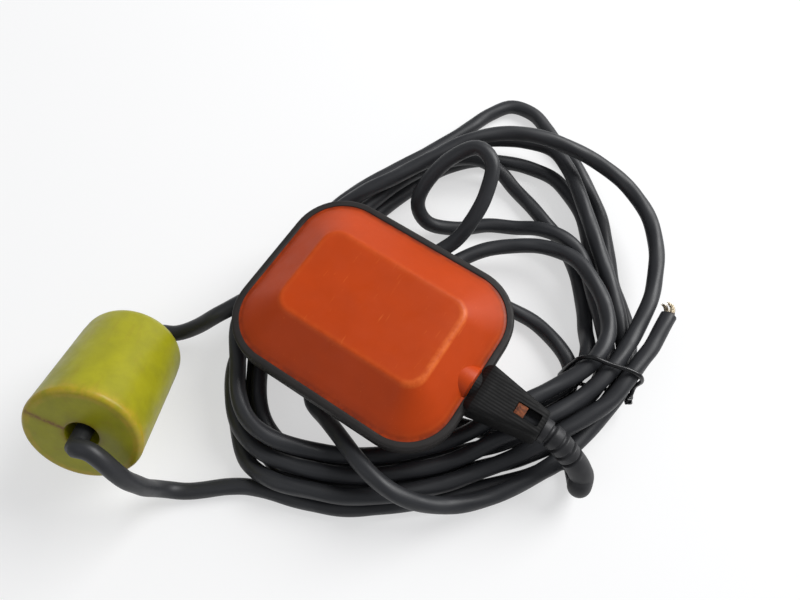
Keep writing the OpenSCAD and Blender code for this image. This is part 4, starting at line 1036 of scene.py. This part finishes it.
def half_shell(name, settings, material, up):
    """One shell: rim, ledge, sloping sides, rounded edge and flat face, its inside and its boss."""
    ledge, edge = settings.ledge, settings.face_round
    foot = rounded_outline(*grown(BODY, -ledge))[0]
    face = rounded_outline(*FACE)[0]
    face_in = rounded_outline(*grown(FACE, -edge))[0]
    rings, rub_and_highlight, grime_and_crease_shade = [], [], []

    def put(plan, z, rubbed_and_lit=0.0, crease_shading=0.0):
        rings.append(np.column_stack([plan, np.full(len(plan), z)]))
        rub_and_highlight.append(rubbed_and_lit)
        grime_and_crease_shade.append(crease_shading)

    corner = 0.2
    outline, normals = rounded_outline(*BODY)
    put(outline, 0.0)
    # rim and ledge beside the band: painted shade in the crease, and a little painted highlight on
    # the ledge
    put(outline, BAND_HALF - corner, 0, 1)
    put(rounded_outline(*grown(BODY, -corner))[0], BAND_HALF, 0, 1)
    put(rounded_outline(*grown(BODY, -ledge * 0.6))[0], BAND_HALF, 0.3, 0.8)
    run = face - foot
    length = np.linalg.norm(run, axis=1).mean()
    rise = HALF_H - BAND_HALF
    slope = math.hypot(length, rise)
    # foot of the slope, darkest with painted shade in the crease by the band, then the clean slope
    for s in (0.0, 0.02, 0.05, 0.09):
        put(foot + run * s, BAND_HALF + rise * s + (0.08 if s == 0 else 0), 0.15, 0.7 - 6 * s)
    for s in np.linspace(0.16, 1 - edge / slope * 2.2, 8):
        put(foot + run * s, BAND_HALF + rise * s, 0.0, 0.1 if s < 0.2 else 0.0)
    # rounded edge, worn lighter and given a painted highlight, then the flat face, which sinks a
    # little in the middle
    t0 = 1 - edge / slope
    start = foot + run * t0
    for s in (0.0, 0.25, 0.5, 0.75, 1.0):
        plan = (1 - s) ** 2 * start + 2 * s * (1 - s) * face + s * s * face_in
        z = (1 - s) ** 2 * (BAND_HALF + rise * t0) + (1 - (1 - s) ** 2) * HALF_H
        put(plan, z, 0.9)
    sink = 0.12
    inner = rounded_outline(*grown(FACE, -edge - 1.2))[0]
    put(inner, HALF_H, 0.1)
    for s in (0.85, 0.6, 0.35, 0.15):
        put(inner * s, HALF_H - sink * (1 - s))
    count = len(outline)
    outer_rings = len(rings)
    # inside of the shell, from the rim up
    for shape, z in ((grown(BODY, -WALL), 0.0), (grown(BODY, -WALL), BAND_HALF - WALL * 0.3),
                     (grown(FACE, -WALL * 0.5), HALF_H - WALL)):
        put(rounded_outline(*shape)[0], z)
    points = np.vstack(rings)
    faces = ring_faces(outer_rings, count)
    faces.append(tuple((outer_rings - 1) * count + k for k in range(count)))
    first_in = outer_rings * count
    for k in range(count):
        m = (k + 1) % count
        faces.append((k, first_in + k, first_in + m, m))
    faces += [tuple(first_in + i for i in f) for f in ring_faces(3, count, flip=True)]
    faces.append(tuple(first_in + 2 * count + k for k in range(count))[::-1])
    points[:, 2] *= up
    if up < 0:
        faces = [f[::-1] for f in faces]
    # edges worn lighter all round, with a painted highlight strongest at the end beside the neck
    bare = 0.2 + 0.8 * np.clip(normals[:, 0], 0, 1)
    per_point = {"rub_and_highlight": np.outer(rub_and_highlight, bare).ravel(), "grime_and_crease_shade": np.repeat(grime_and_crease_shade, count)}
    piece = new_piece(name, at_shell(points), faces, material, 35, per_point)

    boss = half_round(name + "_boss", BOSS_R, FACE[0] / 2, BODY[0] / 2 - 0.15, material, up, 1.2)
    cut(piece, [boss], "UNION")
    hollow = round_bar(name + "_hollow", SPIGOT_R + 0.1, FACE[0] / 2 - 6, BODY[0] / 2 - WALL)
    mouth = round_bar(name + "_mouth", SPIGOT_R + 0.05, FACE[0] / 2, BODY[0] / 2 + 3)
    cut(piece, [hollow, mouth])
    tidy_mesh(piece, 35)
    return piece


def round_bar(name, radius, start, end):
    """A plain round cutter along the neck's axis."""
    line = np.array([(start, NECK_Y, 0), (end, NECK_Y, 0)], float)
    points, faces, _ = tube(line, radius, 48)
    return new_piece(name, at_shell(points), faces, None)


def half_round(name, radius, start, end, material, up, edge):
    """A half-round bar along the neck's axis, flat at the shells' middle height, its outer
    end rounded."""
    stations = [(start, radius), (end - edge, radius)]
    stations += [(end - edge + edge * math.sin(t), radius - edge * (1 - math.cos(t)))
                 for t in np.linspace(0.3, math.pi / 2, 5)]
    points, count = [], 41
    for x, r in stations:
        for k in range(count):
            a = math.pi * k / (count - 1)
            points.append((x, NECK_Y + r * math.cos(a), up * (0.01 + r * math.sin(a))))
    piece = new_piece(name, at_shell(points), closed_tube(len(stations), count), material)
    face_outwards(piece)
    return piece


class FLOATSWITCH_OT_band(bpy.types.Operator):
    """The black rim band"""
    bl_idname = "floatswitch.band"
    bl_label = "Rim band"

    def execute(self, context):
        settings = context.scene.float_switch.body
        out, lip = BAND_OUT, settings.band_lip
        line, across = rounded_outline(*BODY)
        high = BAND_HALF
        profile = [(-lip, high - 0.35), (-lip, high + 0.1), (-lip + 0.2, high + 0.3),
                   (0.3, high + 0.3)]
        profile += arc((out - 1.3, high - 1.0), 1.3, 90, 8, 6)
        profile += [(out - 0.02, 1.2), (out, 0.25), (out - 0.12, 0.0), (out, -0.25),
                    (out - 0.02, -1.2)]
        profile += arc((out - 1.3, 1.0 - high), 1.3, -8, -90, 6)
        profile += [(0.3, -high - 0.3), (-lip + 0.2, -high - 0.3), (-lip, -high - 0.1),
                    (-lip, 0.35 - high), (0.02, 0.3 - high), (0.02, high - 0.3)]
        points = []
        for (x, y), (nx, ny) in zip(line, across):
            points += [(x + u * nx, y + u * ny, z) for u, z in profile]
        count = len(profile)
        faces = ring_faces(len(line), count, closed_rings=True, flip=True)
        rubber = moulded("band_rubber", list(settings.band_colour), linear("#25211F"), 0.62,
                         0.5, 0.03, 9, spread=0.14)
        piece = new_piece("rim_band_dressed", at_shell(points), faces, rubber, 45)
        face_outwards(piece)
        cut(piece, [round_bar("band_hole", SPIGOT_R, BODY[0] / 2 - 2, BODY[0] / 2 + 5)])
        tidy_mesh(piece, 45)
        belong(piece, "float", "band_rubber", "rim_band")
        return {"FINISHED"}


class FLOATSWITCH_OT_neck(bpy.types.Operator):
    """The neck with its window and clip"""
    bl_idname = "floatswitch.neck"
    bl_label = "Neck"

    def execute(self, context):
        settings = context.scene.float_switch.body
        nylon = neck_plastic(settings)
        root, band_x, end = BODY[0] / 2, BODY[0] / 2 + BAND_OUT, NECK_END
        # half widths at the root and the end, half height and length of the rounded end
        wide, narrow, tall, nose = 10.7, 6.2, 7.0, 3.2
        stations = [(root - 0.1, wide - 1.6, 3.75), (root + 0.5, wide - 1.1, 4.7),
                    (root + 1.4, wide - 0.8, 5.8), (root + 2.3, wide - 0.5, 6.5),
                    (band_x + 0.1, wide - 0.45, 6.8)]
        for s in np.linspace(0, 1, 9):
            x = band_x + 0.4 + s * (end - nose - band_x - 0.4)
            stations.append((x, wide - 0.45 + (narrow - wide + 0.45) * s, tall))
        for t in np.linspace(0.25, math.pi / 2, 5):
            stations.append((end - nose + nose * math.sin(t), narrow - 0.6 * (1 - math.cos(t)),
                             tall - 1.2 * (1 - math.cos(t))))
        points, count = [], 0
        for x, half_w, half_h in stations:
            corner = min(2.2, half_h - 0.2)
            plan = rounded_outline(2 * half_w, 2 * half_h, corner, 6, 4)[0]
            count = len(plan)
            points += [(x, NECK_Y + p[0], p[1]) for p in plan]
        piece = new_piece("neck", at_shell(points), closed_tube(len(stations), count), nylon, 40)
        window = softened_box("window", (end - 12, NECK_Y - 2.5, 3.3),
                              (end - 2, NECK_Y + 2.5, 9.0), 0.5)
        spigot = round_bar("spigot", SPIGOT_R, root - 3.6, band_x + 1)
        flange = softened_box("flange", (root - 4.1, NECK_Y - 8, -3.5),
                              (root - 2.7, NECK_Y + 8, 3.5), 0.3)
        cut(piece, [spigot, flange], "UNION")
        bore = round_bar("bore", 3.35, 30, 90)
        socket = round_bar("socket", 5.35, band_x, 90)
        cut(piece, [window, bore, socket])
        tidy_mesh(piece, 38)
        belong(piece, "float", "neck_plastic", "neck_housing")
        clip = softened("retaining_clip", "clip", rusted_steel(), 0.18, 2)
        belong(clip, "float", "rusted_steel", "retaining_clip")
        return {"FINISHED"}


def softened_box(name, low, high, edge):
    """A box between two corners, its edges rounded."""
    work = bmesh.new()
    bmesh.ops.create_cube(work, size=1)
    size = np.subtract(high, low)
    middle = at_shell([np.add(high, low) / 2])[0]
    for v in work.verts:
        v.co = Vector([v.co[k] * size[k] * MM + middle[k] for k in range(3)])
    bmesh.ops.bevel(work, geom=list(work.edges), offset=edge * MM, segments=3, profile=0.5,
                    affect="EDGES")
    data = bpy.data.meshes.new(name)
    work.to_mesh(data)
    work.free()
    return linked(name, data)


class FLOATSWITCH_OT_relief(bpy.types.Operator):
    """The ribbed bend relief"""
    bl_idname = "floatswitch.relief"
    bl_label = "Bend relief"

    def execute(self, context):
        rubber = moulded("relief_rubber", linear("#242426"), linear("#303032"), 0.5, 0.5, 0.03, 6)
        line = at_float(smooth_path(RELIEF, 0.5))
        curve = bpy.data.curves.new("relief_line", "CURVE")
        curve.dimensions = "3D"
        spline = curve.splines.new("POLY")
        spline.points.add(len(line) - 1)
        for point, place in zip(spline.points, line):
            point.co = (*place, 1)
        guide = linked("relief_line", curve)
        ribbed_tree(guide, rubber)
        evaluated = guide.evaluated_get(context.evaluated_depsgraph_get())
        piece = linked("relief", bpy.data.meshes.new_from_object(evaluated))
        bpy.data.objects.remove(guide)
        tidy_mesh(piece, 60, 1e-8)
        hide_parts("bend_relief")
        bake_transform(piece)
        return {"FINISHED"}


def ribbed_tree(guide, material):
    """Rings of rubber along a line: a tapering tube with square grooves and a round end."""
    sizes = {"Root radius": 4.9, "Tip radius": 4.6, "Groove depth": 1.15, "Groove pitch": 4.1,
             "Ribbed length": 19.5, "Round": 2.6, "Cable radius": 3.3}
    sizes = {key: value * MM for key, value in sizes.items()}
    tree, sockets, given = start_tree("ribbed_relief", sizes)
    fine = add_node(tree, "GeometryNodeResampleCurve", {"Curve": given["Geometry"], "Count": 160})
    spot = add_node(tree, "GeometryNodeSplineParameter")
    whole = add_node(tree, "GeometryNodeSplineLength")

    def sum_up(operation, a, b=0.0):
        return maths(tree, operation, a, b)

    taper = add_node(tree, "ShaderNodeMapRange", {
        "Value": spot.outputs["Factor"], "To Min": given["Root radius"],
        "To Max": given["Tip radius"]})
    phase = sum_up("FRACT", sum_up("DIVIDE", spot.outputs["Length"], given["Groove pitch"]))
    edge = sum_up("ABSOLUTE", sum_up("SUBTRACT", sum_up("MULTIPLY", phase, 2.0), 1.0))
    groove = add_node(tree, "ShaderNodeMapRange", {
        "Value": edge, "From Min": 0.58, "From Max": 0.86},
        interpolation_type="SMOOTHSTEP").outputs["Result"]
    ribbed = sum_up("LESS_THAN", spot.outputs["Length"], given["Ribbed length"])
    depth = sum_up("MULTIPLY", sum_up("MULTIPLY", groove, given["Groove depth"]), ribbed)
    body = sum_up("SUBTRACT", taper.outputs["Result"], depth)
    left = sum_up("SUBTRACT", whole.outputs["Length"], spot.outputs["Length"])
    t = add_node(tree, "ShaderNodeMapRange", {
        "Value": left, "From Max": given["Round"], "To Min": 1.0, "To Max": 0.0}).outputs["Result"]
    bow = sum_up("SQRT", sum_up("MAXIMUM", sum_up("SUBTRACT", 1.0, sum_up("MULTIPLY", t, t)), 0.0))
    over = sum_up("SUBTRACT", body, given["Cable radius"])
    radius = sum_up("ADD", given["Cable radius"], sum_up("MULTIPLY", over, bow))
    ring = add_node(tree, "GeometryNodeCurvePrimitiveCircle", {"Resolution": 36, "Radius": 1.0},
                    mode="RADIUS")
    skin = add_node(tree, "GeometryNodeCurveToMesh", {
        "Curve": fine.outputs["Curve"], "Profile Curve": ring.outputs["Curve"], "Scale": radius,
        "Fill Caps": True})
    finish_tree(guide, tree, sockets, sizes, skin.outputs["Mesh"], material)


class FLOATSWITCH_OT_weight(bpy.types.Operator):
    """The counterweight's jacket and its rear cap"""
    bl_idname = "floatswitch.weight"
    bl_label = "Counterweight"

    def execute(self, context):
        s = context.scene.float_switch.weight
        plastic = weight_plastic(s)
        rear_r, front_r, bore = s.rear_diameter / 2, s.front_diameter / 2, s.bore / 2
        length, wall, rear_round, front_round = s.length, s.wall, s.rear_round, s.front_round
        centre = (rear_r - rear_round, rear_round)
        seam_r = rear_r - wall
        # where the cap meets the jacket on the rear edge, the liner's outside, the cap's
        # thickness and the middle of the room for the grip's ring
        seam_z, room = 1.55, 2.35
        seam = math.degrees(math.asin((rear_round - seam_z) / rear_round))
        liner, cap_t, grip = bore + 1.5, 3.0, WEIGHT_GRIP_MM
        jacket = arc(centre, rear_round, -seam, 0, 10)
        lean = math.degrees(math.atan2(front_r - rear_r, length))
        for z in np.linspace(rear_round + 3, length - front_round - 2, 16):
            jacket.append((rear_r + (front_r - rear_r) * z / length, z))
        jacket += arc((front_r - front_round, length - front_round), front_round, -lean, 90, 10)
        for r in np.linspace(front_r - front_round - 0.8, bore + 1.6, 12):
            jacket.append((r, length))
        jacket += arc((bore + 0.8, length - 0.8), 0.8, 90, 180, 5)
        jacket += [(bore, grip + 8), (bore, grip + room), (liner, grip + room),
                   (liner, length - wall), (front_r - wall, length - wall),
                   (seam_r + 0.1, cap_t + 0.02), (seam_r + 0.1, 1.9)]
        points, faces = turned(jacket, 128)
        self.finish_part("weight_jacket_dressed", points, faces, plastic, s, "weight_jacket")
        cap = [(bore, 0.9)] + arc((bore + 0.7, 0.7), 0.7, 180, 270, 4)
        for r in np.linspace(bore + 1.6, rear_r - rear_round, 8):
            cap.append((r, 0.0))
        cap += arc(centre, rear_round, -88, -seam - 2, 6)
        cap += [(seam_r - 0.1, 1.9), (seam_r - 0.1, cap_t), (liner, cap_t), (liner, grip - room),
                (bore, grip - room)]
        points, faces = turned(cap, 128)
        self.finish_part("weight_cap_dressed", points, faces, plastic, s, "weight_cap")
        return {"FINISHED"}

    def finish_part(self, name, points, faces, plastic, s, node):
        """Makes the piece, with the grime of its rim and the stain of its weld line."""
        front = points[:, 2] > s.length - 0.4
        radius = np.linalg.norm(points[:, :2], axis=1)
        rim = (np.exp(-((points[:, 2] - s.length + 1.2) / 2.2) ** 2)
               * (radius > s.front_diameter / 2 - 3.5))
        # weld line on the front face, at the side that leans over the floor
        angle = math.radians(WELD_ANGLE)
        along = points[:, 0] * math.cos(angle) + points[:, 1] * math.sin(angle)
        aside = -points[:, 0] * math.sin(angle) + points[:, 1] * math.cos(angle)
        near = np.exp(-(aside / 1.0) ** 2) * (along > 0) * front
        halo = np.exp(-((radius - s.bore / 2) / 1.5) ** 2) * front * 0.5
        piece = new_piece(name, at_weight(points), faces, plastic, 40, {
            "own_place": points * MM, "grime_and_crease_shade": rim, "stain": np.maximum(near, halo)})
        belong(piece, "weight", "weight_plastic", node)


class FLOATSWITCH_OT_inside(bpy.types.Operator):
    """Finishes of the pieces inside the float, the neck and the weight"""
    bl_idname = "floatswitch.inside"
    bl_label = "Inner pieces"

    def execute(self, context):
        for name, colour, other, finish, pieces in (
                # natural polypropylene: milky and a little waxy
                ("polypropylene_natural", "#D9D8D0", "#C9C8BE", (0.45,),
                 ("capsule_base", "capsule_cover", "cable_grip")),
                # nitrile rubber: matt black
                ("nitrile_rubber", "#1C1C1C", "#262626", (0.75, 0.6, 0.04),
                 ("capsule_gasket", "seal_sleeve", "neck_grommet")),
                ("sheath_inside", "#303134", "#3A3B3E", (0.5,), ("inner_cable",)),
                # phenolic mouldings: hard, dark and slightly glossy
                ("phenolic_black", "#191919", "#222222", (0.32, 0.3, 0.01), ("switch_body",)),
                ("phenolic_red", "#8E1F18", "#7A1A14", (0.32, 0.3, 0.01),
                 ("switch_cover", "plunger")),
                # extruded PVC on the cores: smooth, with a soft sheen
                ("pvc_brown", "#5A3420", "#4C2B1A", (0.4, 0.3, 0.01), ("wire_brown",)),
                ("pvc_blue", "#1F3F8A", "#1A3576", (0.4, 0.3, 0.01), ("wire_blue",)),
                ("pvc_black", "#1B1B1C", "#242426", (0.4, 0.3, 0.01), ("wire_black",))):
            dress(moulded(name, linear(colour), linear(other), *finish), *pieces)
        for name, colour, other, finish, pieces in (
                # rolled brass strip and bright steel
                ("brass_strip", "#C9A45A", "#A98443", (0.3,),
                 ("lever", "contact_blade", "common_terminal", "open_terminal", "closed_terminal")),
                ("bright_steel", "#C2C3C5", "#A6A7AA", (0.24,),
                 ("capsule_screws", "steel_ball", "lever_pin", "terminal_lugs", "grip_ring")),
                # raw grey iron: dark, grainy casting
                ("grey_iron", "#5A5A5C", "#444446", (0.6, 0.8, 0.08, (1, 1, 1)),
                 ("weight_ballast",))):
            dress(metal(name, linear(colour), linear(other), *finish), *pieces)
        dress(foam_white(), "foam_blocks")
        return {"FINISHED"}


class FLOATSWITCH_PT_panel(bpy.types.Panel):
    """Buttons that build the float switch piece by piece"""
    bl_idname = "FLOATSWITCH_PT_panel"
    bl_label = "Float switch"
    bl_space_type = "VIEW_3D"
    bl_region_type = "UI"
    bl_category = "Float switch"

    def draw(self, context):
        settings = context.scene.float_switch
        for title, group, operators in (
                ("Float", settings.body, ("shells", "band", "neck", "relief", "inside")),
                ("Cable", settings.cable, ("cable", "cores", "tie")),
                ("Counterweight", settings.weight, ("weight",)),
                ("Stage", settings.stage, ("stage",))):
            box = self.layout.box()
            box.label(text=title)
            for key in group.bl_rna.properties.keys():
                if key not in ("rna_type", "name"):
                    box.prop(group, key)
            for operator in operators:
                box.operator("floatswitch." + operator)


CLASSES = (FloatSettings, CableSettings, WeightSettings, StageSettings, FloatSwitchSettings,
           FLOATSWITCH_OT_stage, FLOATSWITCH_OT_cable, FLOATSWITCH_OT_cores, FLOATSWITCH_OT_tie,
           FLOATSWITCH_OT_shells, FLOATSWITCH_OT_band, FLOATSWITCH_OT_neck, FLOATSWITCH_OT_relief,
           FLOATSWITCH_OT_weight, FLOATSWITCH_OT_inside, FLOATSWITCH_PT_panel)


def register():
    for item in CLASSES:
        bpy.utils.register_class(item)
    bpy.types.Scene.float_switch = PointerProperty(type=FloatSwitchSettings)


def unregister():
    del bpy.types.Scene.float_switch
    for item in reversed(CLASSES):
        bpy.utils.unregister_class(item)


def main():
    register()
    for operator in ("stage", "cable", "tie", "shells", "band", "neck", "relief", "weight",
                     "inside"):
        getattr(bpy.ops.floatswitch, operator)()


if __name__ == "__main__":
    main()
